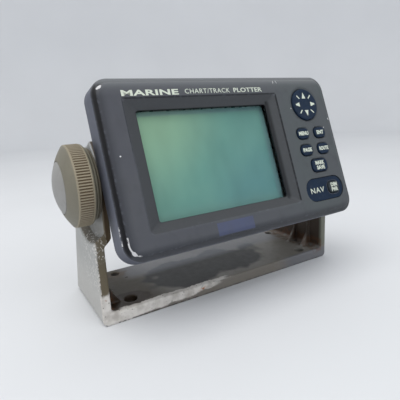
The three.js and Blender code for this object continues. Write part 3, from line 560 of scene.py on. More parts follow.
def make_materials():
    beige, soil = srgb(112, 108, 95), srgb(84, 58, 32)
    steel, dull = srgb(190, 190, 192), srgb(120, 118, 112)
    return {
        "shell_grey": shell_plastic(),
        "bracket_cast": cast_paint(),
        "knob_plastic": knob_plastic("knob_plastic", beige, soil),
        "cap_plastic": knob_plastic("cap_plastic", srgb(141, 140, 138), soil),
        "washer_plastic": knob_plastic("washer_plastic", srgb(92, 86, 74), soil),
        "key_navy": plain_plastic("key_navy", srgb(20, 35, 54), 0.5, 0.35, 0.015, 0.03, 0.14),
        "window_glass": window_glass(),
        "lcd_green": display_film(),
        "plated_steel": plated_metal("plated_steel", steel, dull, 0.22),
        "contact_brass": plated_metal("contact_brass", srgb(206, 166, 96), srgb(140, 106, 60), 0.25),
        "circuit_board": circuit_board(),
        "seal_rubber": plain_plastic("seal_rubber", srgb(36, 36, 38), 0.75, 0.8, 0.04, 0.1),
        "white_plastic": plain_plastic("white_plastic", srgb(206, 206, 202), 0.55, 0.6, 0.02, 0.05),
        "black_plastic": plain_plastic("black_plastic", srgb(34, 35, 38), 0.5, 0.5, 0.03, 0.08),
        "label_foil": foil_label(),
        "legend_ink": printed("legend_ink", srgb(202, 209, 195)),
        "case_grey": plain_plastic("case_grey", srgb(66, 69, 76), 0.5, 0.6, 0.03, 0.2),
        "power_grey": plain_plastic("power_grey", srgb(46, 52, 56), 0.5, 0.35, 0.015, 0.06, 0.14),
        "key_ring": plain_plastic("key_ring", srgb(52, 56, 66), 0.45, 0.4, 0.015, 0.1),
    }


MATERIALS = make_materials()


# Meshes.


class Skin:
    """A piece's surface in the making: points, faces, and how worn each point is and how dark it is painted (grime
    and painted shade).
    """

    def __init__(self):
        self.points, self.wear, self.grime, self.faces = [], [], [], []

    def ring(self, points, wear=0, grime=0):
        first = len(self.points)
        self.points.extend(points)
        self.wear.extend([wear] * len(points))
        self.grime.extend(grime if isinstance(grime, list) else [grime] * len(points))
        return list(range(first, len(self.points)))

    def bridge(self, a, b):
        for i in range(len(a)):
            j = (i + 1) % len(a)
            self.faces.append((a[i], a[j], b[j], b[i]))

    def chain(self, rings):
        for a, b in zip(rings, rings[1:]):
            self.bridge(a, b)

    def cap(self, *rings):
        self.faces.extend(tuple(ring) for ring in rings)

    def tube(self, rings):
        """Joins rings in order, and caps both ends."""
        self.chain(rings)
        self.cap(rings[0], rings[-1])

    def fill(self, outer, *holes):
        """A flat face inside outer and outside the holes."""
        loops = [outer, *holes]
        flat = [i for loop in loops for i in loop]
        shapes = [[Vector(self.points[i]) for i in loop] for loop in loops]
        self.faces.extend(tuple(flat[k] for k in face) for face in tessellate_polygon(shapes))


def rounded(half_u, half_v, corner, at, steps):
    """Points (u, v) round a rectangle with round corners, counter-clockwise."""
    points = []
    for quarter in range(4):
        side_u = 1 if quarter in (0, 3) else -1
        side_v = 1 if quarter < 2 else -1
        for step in range(steps + 1):
            angle = (quarter + step / steps) * pi / 2
            points.append((
                at[0] + side_u * (half_u - corner) + corner * cos(angle),
                at[1] + side_v * (half_v - corner) + corner * sin(angle),
            ))
    return points


def circle(radius, at=(0, 0), steps=64):
    turns = [2 * pi * i / steps for i in range(steps)]
    return [(at[0] + radius * cos(turn), at[1] + radius * sin(turn)) for turn in turns]


def lift(outline, w):
    """An outline on the head, at depth w, as points of the head's own mesh space."""
    return [(u, -w, v) for u, v in outline]


def plate(skin, rows, at=(0, 0), steps=8):
    """Rounded rectangles on the head, joined in order.

    A row is a size (half width, half height, corner), how far the ring lies outside it, its w,
    and how worn it is and how dark it is painted (grime and painted shade).
    """
    made = []
    for (half_u, half_v, corner), out, w, *looks in rows:
        outline = rounded(half_u + out, half_v + out, max(corner + out, 0.3), at, steps)
        made.append(skin.ring(lift(outline, w), *looks))
    skin.chain(made)
    return made


def turned(skin, profile, at=(0, 0), steps=64):
    """Rings about w at (u, v), from (radius, w, wear, grime) rows."""
    made = [skin.ring(lift(circle(radius, at, steps), w), *looks) for radius, w, *looks in profile]
    skin.chain(made)
    return made


def turned_x(skin, side, profile, steps=96):
    """Rings about the tilt axis, from (radius, x, wear, grime) rows, outwards on the given side."""
    centre = (PIVOT.y / MM, PIVOT.z / MM)
    made = [
        skin.ring([(side * x, y, z) for y, z in circle(radius, centre, steps)], *looks)
        for radius, x, *looks in profile
    ]
    skin.chain(made)
    return made


def mesh_of(name, skin):
    mesh = bpy.data.meshes.new(name)
    mesh.from_pydata([tuple(MM * c for c in point) for point in skin.points], [], skin.faces)
    for label, values in (("wear", skin.wear), ("grime", skin.grime)):
        layer = mesh.attributes.new(label, "FLOAT", "POINT")
        layer.data.foreach_set("value", np.array(values, np.float32))
    shape = bmesh.new()
    shape.from_mesh(mesh)
    bmesh.ops.remove_doubles(shape, verts=shape.verts, dist=1e-7)
    bmesh.ops.recalc_face_normals(shape, faces=shape.faces)
    shape.to_mesh(mesh)
    shape.free()
    return mesh


def add(name, data, place=None):
    made = bpy.data.objects.new(name, data)
    bpy.context.scene.collection.objects.link(made)
    made.matrix_world = place or Matrix.Identity(4)
    return made


def modify(made, kind, **settings):
    modifier = made.modifiers.new(kind.lower(), kind)
    for key, value in settings.items():
        setattr(modifier, key, value)


def settle(made, body, slot, replaces=(), material=None, sharp=32, weighted=True):
    """Gives a finished piece its smooth shading, material and place in the frame."""
    made.data.shade_smooth()
    made.data.set_sharp_from_angle(angle=radians(sharp))
    if weighted:
        modify(made, "WEIGHTED_NORMAL", keep_sharp=True)
    made.data.materials.clear()
    made.data.materials.append(MATERIALS[material or slot])
    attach(made, body)
    if replaces:
        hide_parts(*replaces)
    return made


def on_head(name, skin, body, slot, replaces=(), material=None, sharp=32):
    return settle(add(name, mesh_of(name, skin), HEAD), body, slot, replaces, material, sharp)


def carve(made, tools):
    """Applies booleans to an object: tools are (operation, mesh). The tools are removed."""
    for operation, mesh in tools:
        tool = add("tool", mesh, made.matrix_world.copy())
        modify(made, "BOOLEAN", operation=operation, solver="EXACT", object=tool)
        bake(made)
        bpy.data.objects.remove(tool)


def bake(made):
    """Applies every modifier of an object to its mesh."""
    bpy.context.view_layer.update()
    graph = bpy.context.evaluated_depsgraph_get()
    final = bpy.data.meshes.new_from_object(made.evaluated_get(graph))
    made.modifiers.clear()
    made.data = final


# Front shell.


def key_outline(name):
    """A key's middle and the half sizes of its cap."""
    middle, half = centre_of(f"{name}_key")
    return middle, (half[0] - KEY_LIP[0] - 0.2, half[1] - KEY_LIP[1] - 0.2, KEY_CORNER)


def well(skin, size, at, hole, round_off=0.25):
    """A dimple round a key and the hole in it. Returns the opening's front ring and back ring."""
    rows = [
        (size, round_off, 0), (size, round_off * 0.3, -round_off * 0.3),
        (size, -0.2, -DIMPLE + 0.25), (size, -0.45, -DIMPLE, 0, 0.1),
        (hole, 0.12, -DIMPLE, 0, 0.5), (hole, 0, -DIMPLE - 0.2, 0, 0.9),
        (hole, 0, SHELL_BACK, 0, 1),
    ]
    rings = plate(skin, rows, at)
    return rings[0], rings[-1]


def front_bezel():
    skin = Skin()
    outer = plate(skin, [(PLATEAU, *row) for row in EDGE_PROFILE], steps=14)
    window = plate(skin, [
        (WINDOW_OUT, 0.5, 0), (WINDOW_OUT, 0.15, -0.05, 0.5), (WINDOW_OUT, -0.15, -0.2, 0.7),
        (WINDOW_OUT, -0.5, -0.42, 0.2), (WINDOW_IN, 0.4, WINDOW_SLOPE + 0.18),
        (WINDOW_IN, 0.12, WINDOW_SLOPE + 0.02, 0.1), (WINDOW_IN, 0, WINDOW_SLOPE - 0.2, 0, 0.8),
        (WINDOW_IN, 0, -5.5, 0, 1), (WINDOW_IN, WINDOW_WALL, -5.5),
        (WINDOW_OUT, WINDOW_WALL, SHELL_BACK),
    ], (WINDOW_U, 0))
    fronts, backs = [window[0]], [window[-1]]
    for name in KEYS[:-1]:
        middle, size = key_outline(name)
        dimple, hole = (tuple(length + gap for length in size) for gap in (1, KEY_FIT))
        front, back = well(skin, dimple, middle, hole)
        fronts.append(front)
        backs.append(back)
    pad, _ = centre_of("cursor_pad")
    cursor = turned(skin, [
        (CURSOR_WELL + 0.35, 0), (CURSOR_WELL, -0.08), (CURSOR_WELL - 0.4, -0.24),
        (CURSOR_WELL - 0.8, -0.42), (CURSOR_HOLE + 0.15, -0.5, 0, 0.3), (CURSOR_HOLE, -0.7, 0, 1),
        (CURSOR_HOLE, SHELL_BACK, 0, 1),
    ], pad, 80)
    fronts.append(cursor[0])
    backs.append(cursor[-1])
    badge, half = centre_of("badge_plate")
    pocket = (half[0] + 0.3, half[1] + 0.3, half[1])
    rim = plate(skin, [
        (pocket, 0.3, 0), (pocket, 0.08, -0.08, 0.4), (pocket, 0, -0.35, 0.2, 0.3),
        (pocket, 0, BADGE_WELL, 0, 1),
    ], badge, 16)
    fronts.append(rim[0])
    power, size = key_outline("power")
    shaft = plate(skin, [(size, KEY_FIT, w) for w in (BADGE_WELL, SHELL_BACK)], power)
    skin.fill(rim[-1], shaft[0])
    backs.append(shaft[-1])
    skin.fill(outer[0], *fronts)
    hollow = plate(skin, [
        (SEAT, 0, EDGE_PROFILE[-1][1]), (SEAT, 0, SEAT_W), (INNER, 0, SEAT_W),
        (INNER, 0, SHELL_BACK),
    ], steps=14)
    skin.bridge(outer[-1], hollow[0])
    skin.fill(hollow[-1], *backs)
    on_head("front_shell", skin, "head", "shell_grey", ["front_bezel"])


# Keys, pad and badge.


def crowned(skin, size, at, top, bottom):
    """A key cap: soft edges and a slightly crowned top."""
    rows = [(size, 0, bottom), (size, 0, top - 0.75, 0, 0.3)]
    for share in (0.25, 0.5, 0.75, 1):
        angle = share * pi / 2
        rows.append((size, -0.6 * (1 - cos(angle)), top - 0.7 + 0.6 * sin(angle), 0.6))
    rows += [(size, -1.6, top - 0.03), (size, -2.6, top)]
    rings = plate(skin, rows, at, 10)
    skin.cap(rings[-1], rings[0])


def keys():
    for name in KEYS:
        skin = Skin()
        middle, size = key_outline(name)
        crowned(skin, size, middle, KEY_PROUD, -3.2)
        foot_w = head_box(f"{name}_key")[0][2]
        flange = plate(skin, [(size, KEY_LIP[1], w) for w in (-3.25, -4.4)], middle)
        skin.cap(flange[0], flange[1])
        foot = turned(skin, [(2.5, -4.45), (2.5, foot_w + 0.3), (2.2, foot_w)], middle, 24)
        skin.cap(foot[0], foot[-1])
        cover = "power_grey" if name == "power" else None
        on_head(f"{name}_key_cap", skin, f"{name}_button", "key_navy", [f"{name}_key"], cover)


def cursor_pad():
    middle, _ = centre_of("cursor_pad")
    skin = Skin()
    radius = CURSOR_HOLE - 0.25
    rings = turned(skin, [
        (radius - 0.2, -2.4), (radius, -2.2), (radius, 0.1), (radius - 0.08, 0.4, 0.3),
        (radius - 0.3, 0.68, 0.6), (radius - 0.7, 0.86, 0.8), (radius - 1.2, 0.9, 0.5),
        (radius - 2.2, 0.86), *PAD_DISH,
    ], middle, 96)
    skin.cap(rings[0], rings[-1])
    on_head("cursor_rocker_pad", skin, "cursor_rocker", "key_navy", ["cursor_pad"])
    marks = Skin()
    for i in range(8):
        angle = i * pi / 4
        along, aside = Vector((cos(angle), sin(angle))), Vector((-sin(angle), cos(angle)))
        if i % 2:
            corners = [(6, -0.42), (9.4, -0.42), (9.4, 0.42), (6, 0.42)]
        elif i % 4:
            corners = [(4.4, -1.75), (8.8, 0), (4.4, 1.75)]
        else:
            corners = [(5.4, -1.65), (10.4, 0), (5.4, 1.65)]
        inlay(marks, [along * a + aside * b for a, b in corners], middle)
    on_head("cursor_arrows", marks, "cursor_rocker", "key_navy", (), "legend_ink")


def pad_height(distance):
    """How high the cursor pad's dished top stands at a distance from its middle."""
    radii, heights = zip(*reversed(PAD_DISH), (10, 0.86))
    return float(np.interp(distance, radii, heights))


def inlay(skin, corners, middle, thick=0.12):
    """A thin printed patch that follows the pad's dish; its edges are split to bend with it."""
    outline = []
    for a, b in zip(corners, corners[1:] + corners[:1]):
        outline += [a.lerp(b, step / 4) for step in range(4)]
    top, base = [], []
    for point in outline:
        w = pad_height(point.length)
        top.append((middle[0] + point.x, -(w + 0.03), middle[1] + point.y))
        base.append((middle[0] + point.x, -(w - thick), middle[1] + point.y))
    upper, lower = skin.ring(top), skin.ring(base)
    skin.fill(upper)
    skin.fill(lower)
    skin.bridge(upper, lower)


def badge():
    middle, half = centre_of("badge_plate")
    power, size = key_outline("power")
    skin = Skin()
    body = (half[0], half[1], half[1] - 0.3)
    outer = plate(skin, [
        (body, 0, -1.1), (body, 0, -0.62, 0.2), (body, -0.06, -0.54, 0.5),
        (body, -0.2, -0.5, 0.2),
    ], middle, 16)
    hole = plate(skin, [
        (size, 0.6, -0.5), (size, 0.45, -0.56, 0.3), (size, KEY_FIT + 0.05, -0.7),
        (size, KEY_FIT + 0.05, -1.1),
    ], power)
    skin.fill(outer[-1], hole[0])
    skin.fill(outer[0], hole[-1])
    on_head("badge_panel", skin, "head", "key_navy", ["badge_plate"])
    ring = Skin()
    rings = plate(ring, [
        (size, 1.15, -0.52), (size, 1.15, -0.4), (size, 0.75, -0.4), (size, 0.75, -0.52),
    ], power)
    ring.bridge(rings[-1], rings[0])
    on_head("power_key_ring", ring, "head", "shell_grey", (), "key_ring")


def lettering(skin, words, at, size, w, bold=0, spacing=1):
    """Adds a word, centred at (u, v) and stretched to a width and height, as a thin raised print."""
    curve = bpy.data.curves.new("words", "FONT")
    curve.body = words
    curve.space_character = spacing
    curve.offset = bold
    curve.resolution_u = 3
    curve.extrude = 0.02
    text = add("words", curve)
    bpy.context.view_layer.update()
    mesh = bpy.data.meshes.new_from_object(text.evaluated_get(bpy.context.evaluated_depsgraph_get()))
    points = np.array([vertex.co for vertex in mesh.vertices])
    low, high = points.min(0), points.max(0)
    scale = np.array((size[0] / (high[0] - low[0]), size[1] / (high[1] - low[1]), 1.5))
    flat = (points - (low + high) / 2) * scale
    first = len(skin.points)
    skin.ring([(at[0] + x, -(w + z), at[1] + y) for x, y, z in flat])
    skin.faces.extend(tuple(first + i for i in face.vertices) for face in mesh.polygons)
    bpy.data.objects.remove(text)
    bpy.data.meshes.remove(mesh)


KEY_WORDS = {  # the words on each key: text, shift up, width
    "menu": [("MENU", 0, 9)], "enter": [("ENT", 0, 6.8)], "display": [("PAGE", 0, 8.2)],
    "goto": [("ROUTE", 0, 9)], "mark": [("MARK", 1.75, 8.8), ("SAVE", -1.75, 7.8)],
    "power": [("DIM", 1.7, 6.3), ("PWR", -1.7, 6.3)],
}


def legends():
    """Generic words only: what each key does, and what kind of instrument this is."""
    face = Skin()
    lettering(face, "MARINE", (-54.2, 41.8), (36, 3.5), 0, 0.03, 1.05)
    lettering(face, "CHART/TRACK", (-15.3, 42), (33, 3), 0, 0, 1.1)
    lettering(face, "PLOTTER", (16, 42), (23.5, 3), 0, 0.012, 1)
    on_head("face_print", face, "head", "shell_grey", (), "legend_ink")
    for name, lines in KEY_WORDS.items():
        middle, _ = key_outline(name)
        skin = Skin()
        for text, shift, width in lines:
            lettering(skin, text, (middle[0], middle[1] + shift), (width, 2.9), KEY_PROUD, 0.045)
        on_head(f"{name}_legend", skin, f"{name}_button", "key_navy", (), "legend_ink")
    badge_middle, _ = centre_of("badge_plate")
    mark = Skin()
    lettering(mark, "NAV", (badge_middle[0] - 7.4, badge_middle[1] - 0.3), (13, 3.8), -0.5, 0.008, 1.15)
    on_head("badge_print", mark, "head", "key_navy", (), "legend_ink")


# Rear case and connectors.


def closed_loft(rows, steps=12):
    skin = Skin()
    made = plate(skin, rows, steps=steps)
    skin.cap(made[0], made[-1])
    return skin


def cylinder(at, radius, w0, w1, flare=0, steps=48):
    """A cutter along w. A flare rounds off the mouth that it leaves in a face at w0."""
    skin = Skin()
    rows = [(radius, w1)]
    if flare:
        rows += [(radius, w0 + flare), (radius + flare * 0.3, w0 + flare * 0.3), (radius + flare, w0)]
    rows += [(radius + flare, w0 - 1 if flare else w0)]
    made = turned(skin, rows, at, steps)
    skin.cap(made[0], made[-1])
    return mesh_of("cutter", skin)


def axle(side, profile, steps=64):
    """A solid turned about the tilt axis, from (radius, x) pairs, in the head's own space."""
    skin = Skin()
    made = [
        skin.ring([(side * x, FACE_TO_PIVOT + y, z) for y, z in circle(radius, steps=steps)])
        for radius, x in profile
    ]
    skin.tube(made)
    return mesh_of("cutter", skin)


def rear_case():
    shell = closed_loft(CASE_RINGS)
    made = add("rear_shell", mesh_of("rear_shell", shell), HEAD)
    flange = closed_loft([((85.8, 48.9, 7.8), 0, w) for w in (-12.4, -14.4)])
    hollow = closed_loft([
        (CASE_RINGS[0][0], -CASE_WALL, -10), (CASE_RINGS[0][0], -CASE_WALL, -46),
        ((75, 43.4, 8), -CASE_WALL, CASE_BACK + CASE_WALL),
    ])
    corners = [(a * SCREW_AT[0], b * SCREW_AT[1]) for a in (-1, 1) for b in (-1, 1)]
    tools = [("UNION", mesh_of("flange", flange)), ("DIFFERENCE", mesh_of("hollow", hollow))]
    radius, reach = SIDE_BOSS
    for side in (-1, 1):
        tools.append(("UNION", axle(side, [(radius, 77.5), (radius, reach - 0.4), (radius - 0.4, reach)])))
        tools.append(("UNION", axle(side, [(INSERT_BOSS, 66.5), (INSERT_BOSS, 80)])))
    keep = add("keep", mesh_of("keep", shell), HEAD)
    tools += [("UNION", corner_post(at, keep)) for at in corners]
    bpy.data.objects.remove(keep)
    tools += [("DIFFERENCE", cylinder(at, SCREW_WELL, -59.5, -17.5)) for at in corners]
    tools += [("DIFFERENCE", cylinder(at, SCREW_HOLE, -20, -10, steps=20)) for at in corners]
    tools += [("DIFFERENCE", axle(side, [(INSERT_HOLE, 68.7), (INSERT_HOLE, 84.5)])) for side in (-1, 1)]
    for node, radius, gap in PORTS:
        middle, _ = centre_of(node)
        tools.append(("DIFFERENCE", cylinder(middle, radius + gap, CASE_BACK, -50, 0.4)))
    middle, half = centre_of("rear_label")
    pocket = (half[0] + 0.3, half[1] + 0.3, 2)
    bed = Skin()
    rows = ((0.2, -59), (0.2, CASE_BACK), (0, -57.8), (0, -57.4))
    rings = plate(bed, [(pocket, out, w) for out, w in rows], middle)
    bed.cap(rings[0], rings[-1])
    tools.append(("DIFFERENCE", mesh_of("bed", bed)))
    carve(made, tools)
    settle(made, "head", "shell_grey", ["rear_case"], "case_grey", 30)


def corner_post(at, keep):
    """The material round a case screw's well, kept inside the case's own outline."""
    post = add("post", cylinder(at, SCREW_POST, -57.9, -13.2), keep.matrix_world.copy())
    modify(post, "BOOLEAN", operation="INTERSECT", solver="EXACT", object=keep)
    bake(post)
    mesh = post.data
    bpy.data.objects.remove(post)
    return mesh


def threaded(skin, radius, depth, pitch, w0, w1, at, steps=60):
    """Rings whose radius follows a helical thread, from w0 back to w1."""
    rows = int(abs(w1 - w0) / pitch * 8)
    made = []
    for i in range(rows + 1):
        w = w0 + (w1 - w0) * i / rows
        ease = min(1, i / 6, (rows - i) / 6)
        points, grime = [], []
        for k in range(steps):
            phase = (w / pitch + k / steps) % 1
            dip = abs(2 * phase - 1)
            r = radius - depth * ease * dip
            angle = 2 * pi * k / steps
            points.append((at[0] + r * cos(angle), -w, at[1] + r * sin(angle)))
            grime.append(dip)
        made.append(skin.ring(points, 0, grime))
    skin.chain(made)
    return made


def hex_ring(apothem, limit, steps=72):
    """Points of a hexagon whose corners are cut back to a circle."""
    points = []
    for i in range(steps):
        angle = 2 * pi * i / steps
        within = (angle + pi / 6) % (pi / 3) - pi / 6
        radius = min(apothem / cos(within), limit)
        points.append((radius * cos(angle), radius * sin(angle)))
    return points


def hex_nut(name, node, bore):
    """A chamfered hexagon nut in its CAD node's place."""
    low, high = head_box(node)
    u, v = at = (low[:2] + high[:2]) / 2
    apothem = min(high[0] - low[0], high[1] - low[1]) / 2
    corner = apothem / cos(pi / 6)
    bottom, top = low[2], high[2]
    skin = Skin()
    rows = [(apothem, bottom), (corner, bottom + 0.45), (corner, top - 0.45), (apothem, top)]
    outer = [skin.ring([(u + a, -w, v + b) for a, b in hex_ring(apothem, limit)]) for limit, w in rows]
    skin.chain(outer)
    inner = [
        skin.ring(lift(circle(r, at, 72), w))
        for r, w in ((bore + 0.4, top), (bore, top - 0.4), (bore, bottom + 0.4), (bore + 0.4, bottom))
    ]
    skin.chain(inner)
    skin.bridge(outer[-1], inner[0])
    skin.bridge(inner[-1], outer[0])
    on_head(name, skin, "head", "plated_steel", [node])


def connector(name, node, slot, bore, barrel, flange, pitch):
    """A round panel connector: collar, threaded barrel, lip and bore."""
    low, high = head_box(node)
    at = (low[:2] + high[:2]) / 2
    seat = CASE_BACK - 0.3
    end = low[2]
    skin = Skin()
    inner = turned(skin, [
        (barrel, high[2]), (barrel, seat), (flange - 0.3, seat), (flange, seat - 0.3), (flange, seat - 1.3),
        (flange - 0.4, seat - 1.7), (barrel, seat - 1.75),
    ], at, 60)
    screw = threaded(skin, barrel, pitch * 0.4, pitch, seat - 2.6, end + 1, at)
    tail = turned(skin, [
        (barrel - 0.2, end + 0.5), (barrel - 0.6, end), (bore + 0.5, end), (bore, end + 0.5), (bore, high[2]),
    ], at, 60)
    skin.bridge(inner[-1], screw[0])
    skin.bridge(screw[-1], tail[0])
    skin.bridge(tail[-1], inner[0])
    on_head(name, skin, "head", slot, [node], None, 25)


def power_pins():
    """The socket's insulating block, with a raised key, and the contacts standing in it."""
    (u, v, _), _ = centre_of("power_pin_block")
    tip = head_box("power_pin_block")[0][2]
    block = Skin()
    rings = turned(block, [(7.9, -52), (7.9, -59.7), (7.6, -60), (1, -60)], (u, v), 60)
    block.cap(rings[0], rings[-1])
    on_head("power_pin_block_face", block, "head", "contact_brass", ["power_pin_block"], "black_plastic")
    pins = Skin()
    rows = [(0.8, -59.8), (0.8, tip + 0.5), (0.5, tip + 0.08), (0.2, tip)]
    for at in [(u, v)] + circle(4.6, (u, v), 6):
        rings = turned(pins, rows, at, 20)
        pins.cap(rings[0], rings[-1])
    on_head("power_pins", pins, "head", "contact_brass")


def ground_post():
    low, high = head_box("ground_stud")
    at = (low[:2] + high[:2]) / 2
    skin = Skin()
    screw = threaded(skin, 2, 0.28, 0.7, -56, low[2] + 0.5, at, 32)
    tip = turned(skin, [(1.6, low[2] + 0.2), (1.3, low[2])], at, 32)
    skin.bridge(screw[-1], tip[0])
    skin.cap(screw[0], tip[-1])
    on_head("ground_stud_thread", skin, "head", "plated_steel", ["ground_stud"], None, 25)
    low, high = head_box("ground_washer")
    ring = Skin()
    radius = (high[0] - low[0]) / 2
    rings = turned(ring, [
        (2.4, low[2]), (radius - 0.15, low[2]), (radius, low[2] + 0.15), (radius, high[2] - 0.15),
        (radius - 0.15, high[2]), (2.4, high[2]),
    ], at, 48)
    ring.bridge(rings[-1], rings[0])
    on_head("ground_washer_ring", ring, "head", "plated_steel", ["ground_washer"])


def rear_label():
    middle, half = centre_of("rear_label")
    low, high = head_box("rear_label")
    skin = Skin()
    size = (half[0], half[1], 1.7)
    rows = ((0, high[2]), (0, low[2] + 0.08), (-0.08, low[2]))
    rings = plate(skin, [(size, out, w) for out, w in rows], middle)
    skin.cap(rings[0], rings[-1])
    on_head("rear_label_foil", skin, "head", "label_foil", ["rear_label"])


def connectors():
    connector("power_socket_shell", "power_socket", "black_plastic", 8.2, 10.5, 12.5, 1.5)
    connector("antenna_jack_shell", "antenna_jack", "plated_steel", 4.2, 5.5, 8, 0.9)
    power_pins()
    ground_post()
    hex_nut("ground_hex_nut", "ground_nut", 2.3)
    rear_label()


# Clamp knobs.


RIBS = {"left": 94, "right": 62}
KNOB_BORE = 4.3


def knurl_ring(skin, side, ribs, radius, x, depth=0):
    """One ring of the knob; depth is how deep the grooves between its ribs are there."""
    centre_y, centre_z = PIVOT.y / MM, PIVOT.z / MM
    points, grime = [], []
    for i in range(ribs * 6):
        angle = 2 * pi * i / (ribs * 6)
        groove = max(0, cos(ribs * angle)) ** 0.7
        r = radius - depth * groove
        points.append((side * x, centre_y + r * cos(angle), centre_z + r * sin(angle)))
        grime.append(groove if depth > 0.1 else 0)
    return skin.ring(points, 0, grime)


def span_x(node):
    """How far in and out a CAD node reaches along the tilt axis, and its radius about it."""
    low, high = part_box(node)
    near, far = sorted((abs(low.x) / MM, abs(high.x) / MM))
    return near, far, (high.z - low.z) / 2 / MM


def knob(side, name):
    back, face, radius = span_x(f"{name}_knob")
    cap_back, cap_top, cap = span_x(f"{name}_knob_cap")
    knurl_end = face - (radius - cap) * 0.6
    rim = radius - 2.2
    rows = [  # radius, x, groove depth
        (KNOB_BORE, back), (rim - 0.9, back), (rim - 0.2, back + 0.25), (rim, back + 0.7), (rim, back + 1.3),
        (rim - 0.5, back + 1.45), (rim - 0.5, back + 1.75), (radius - 1.4, back + 1.9),
        (radius - 0.7, back + 2.2), (radius - 0.35, back + 2.6), (radius - 0.3, back + 3.4),
        (radius - 0.3, back + 3.6), (radius - 0.02, back + 3.9, 0.8), (radius - 0.02, knurl_end - 0.5, 0.8),
        (radius - 0.15, knurl_end - 0.1), (radius - 0.05, knurl_end + 0.3), (radius - 0.5, knurl_end + 0.8),
        (radius - 1.4, knurl_end + 1.4),
    ]
    last = knurl_end + 1.4
    for share in (0.25, 0.5, 0.75, 0.9):
        slope = radius - 1.4 - share * (radius - 1.4 - cap - 0.5)
        rows.append((slope, last + share * (face - 0.1 - last) + 0.25 * sin(pi * share)))
    seat = cap_back + 0.2
    rows += [(cap + 0.4, face - 0.1), (cap + 0.28, face - 0.4), (cap + 0.28, seat), (KNOB_BORE, seat)]
    skin = Skin()
    rings = [knurl_ring(skin, side, RIBS[name], *row) for row in rows]
    skin.chain(rings)
    skin.bridge(rings[-1], rings[0])
    made = add(f"{name}_knurled_knob", mesh_of("knob", skin))
    settle(made, f"{name}_knob", "knob_plastic", [f"{name}_knob"], None, 40)
    dome = cap_top - face
    rows = [
        (cap - 0.3, cap_back + 0.1), (cap, cap_back + 0.3), (cap, face - 0.25, 0.5),
        (cap - 0.12, face + 0.05, 0.8),
    ]
    for share in (0.96, 0.9, 0.82, 0.72, 0.6, 0.46, 0.3, 0.15, 0.04):
        rows.append((share * cap, face + dome * (1 - share * share), 0.2 if share > 0.9 else 0))
    disc = Skin()
    rings = turned_x(disc, side, rows)
    disc.cap(rings[0], rings[-1])
    made = add(f"{name}_cap_disc", mesh_of("cap", disc))
    settle(made, f"{name}_knob", "knob_plastic", [f"{name}_knob_cap"], "cap_plastic")
    near, far, radius = span_x(f"{name}_knob_washer")
    ring = Skin()
    rings = turned_x(ring, side, [
        (4.6, near), (radius - 0.4, near), (radius, near + 0.35, 0.6), (radius, far - 0.35, 0.8),
        (radius - 0.4, far, 0.4), (4.6, far),
    ])
    ring.bridge(rings[-1], rings[0])
    made = add(f"{name}_washer_ring", mesh_of("washer", ring))
    settle(made, f"{name}_clamp", "knob_plastic", [f"{name}_knob_washer"], "washer_plastic")


# Bracket.


def prism(outline, axis, low, high):
    """A solid with the same outline at both ends of an axis: "x" takes (y, z), and so on."""
    place = "xyz".index(axis)
    skin = Skin()
    skin.tube([
        skin.ring([(*point[:place], end, *point[place:]) for point in outline]) for end in (low, high)
    ])
    return mesh_of("prism", skin)


def arc(centre, radius, start, stop, steps):
    return [
        (centre[0] + radius * cos(start + (stop - start) * i / steps),
         centre[1] + radius * sin(start + (stop - start) * i / steps))
        for i in range(steps + 1)
    ]


def side_outline():
    """The bracket from the side, in (y, z): floor, tapering arm and round ear."""
    low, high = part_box("mounting_bracket")
    front, rear = low.y / MM, high.y / MM
    pivot = (PIVOT.y / MM, PIVOT.z / MM)
    shoulder = 58
    outline = [(front, 0), (rear, 0), (rear - 0.375 * shoulder, shoulder)]
    outline += arc(pivot, EAR_RADIUS, -0.26, 1.48, 40)
    outline += [(y, z) for y, z in EAR_CREST] + [(-32.5, pivot[1] + 8.6)]
    return outline + [(-32.5, shoulder - 2), (front, shoulder - 8)]


def u_outline():
    """The bracket from the front, in (x, z): a U with round corners outside and in."""
    _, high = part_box("mounting_bracket")
    half, top = high.x / MM, high.z / MM + 1
    inner, r = half - ARM_THICK, BRACKET_CORNER
    quarter = pi / 2
    outline = [(-half, top)] + arc((-half + r, r), r, 2 * quarter, 3 * quarter, 8)
    outline += arc((half - r, r), r, 3 * quarter, 4 * quarter, 8) + [(half, top), (inner, top)]
    outline += arc((inner - r, FLOOR_THICK + r), r, 0, -quarter, 8)
    return outline + arc((-inner + r, FLOOR_THICK + r), r, -quarter, -2 * quarter, 8) + [(-inner, top)]


def solid_x(side, profile):
    skin = Skin()
    rings = turned_x(skin, side, profile, 120)
    skin.cap(rings[0], rings[-1])
    return mesh_of("turned", skin)


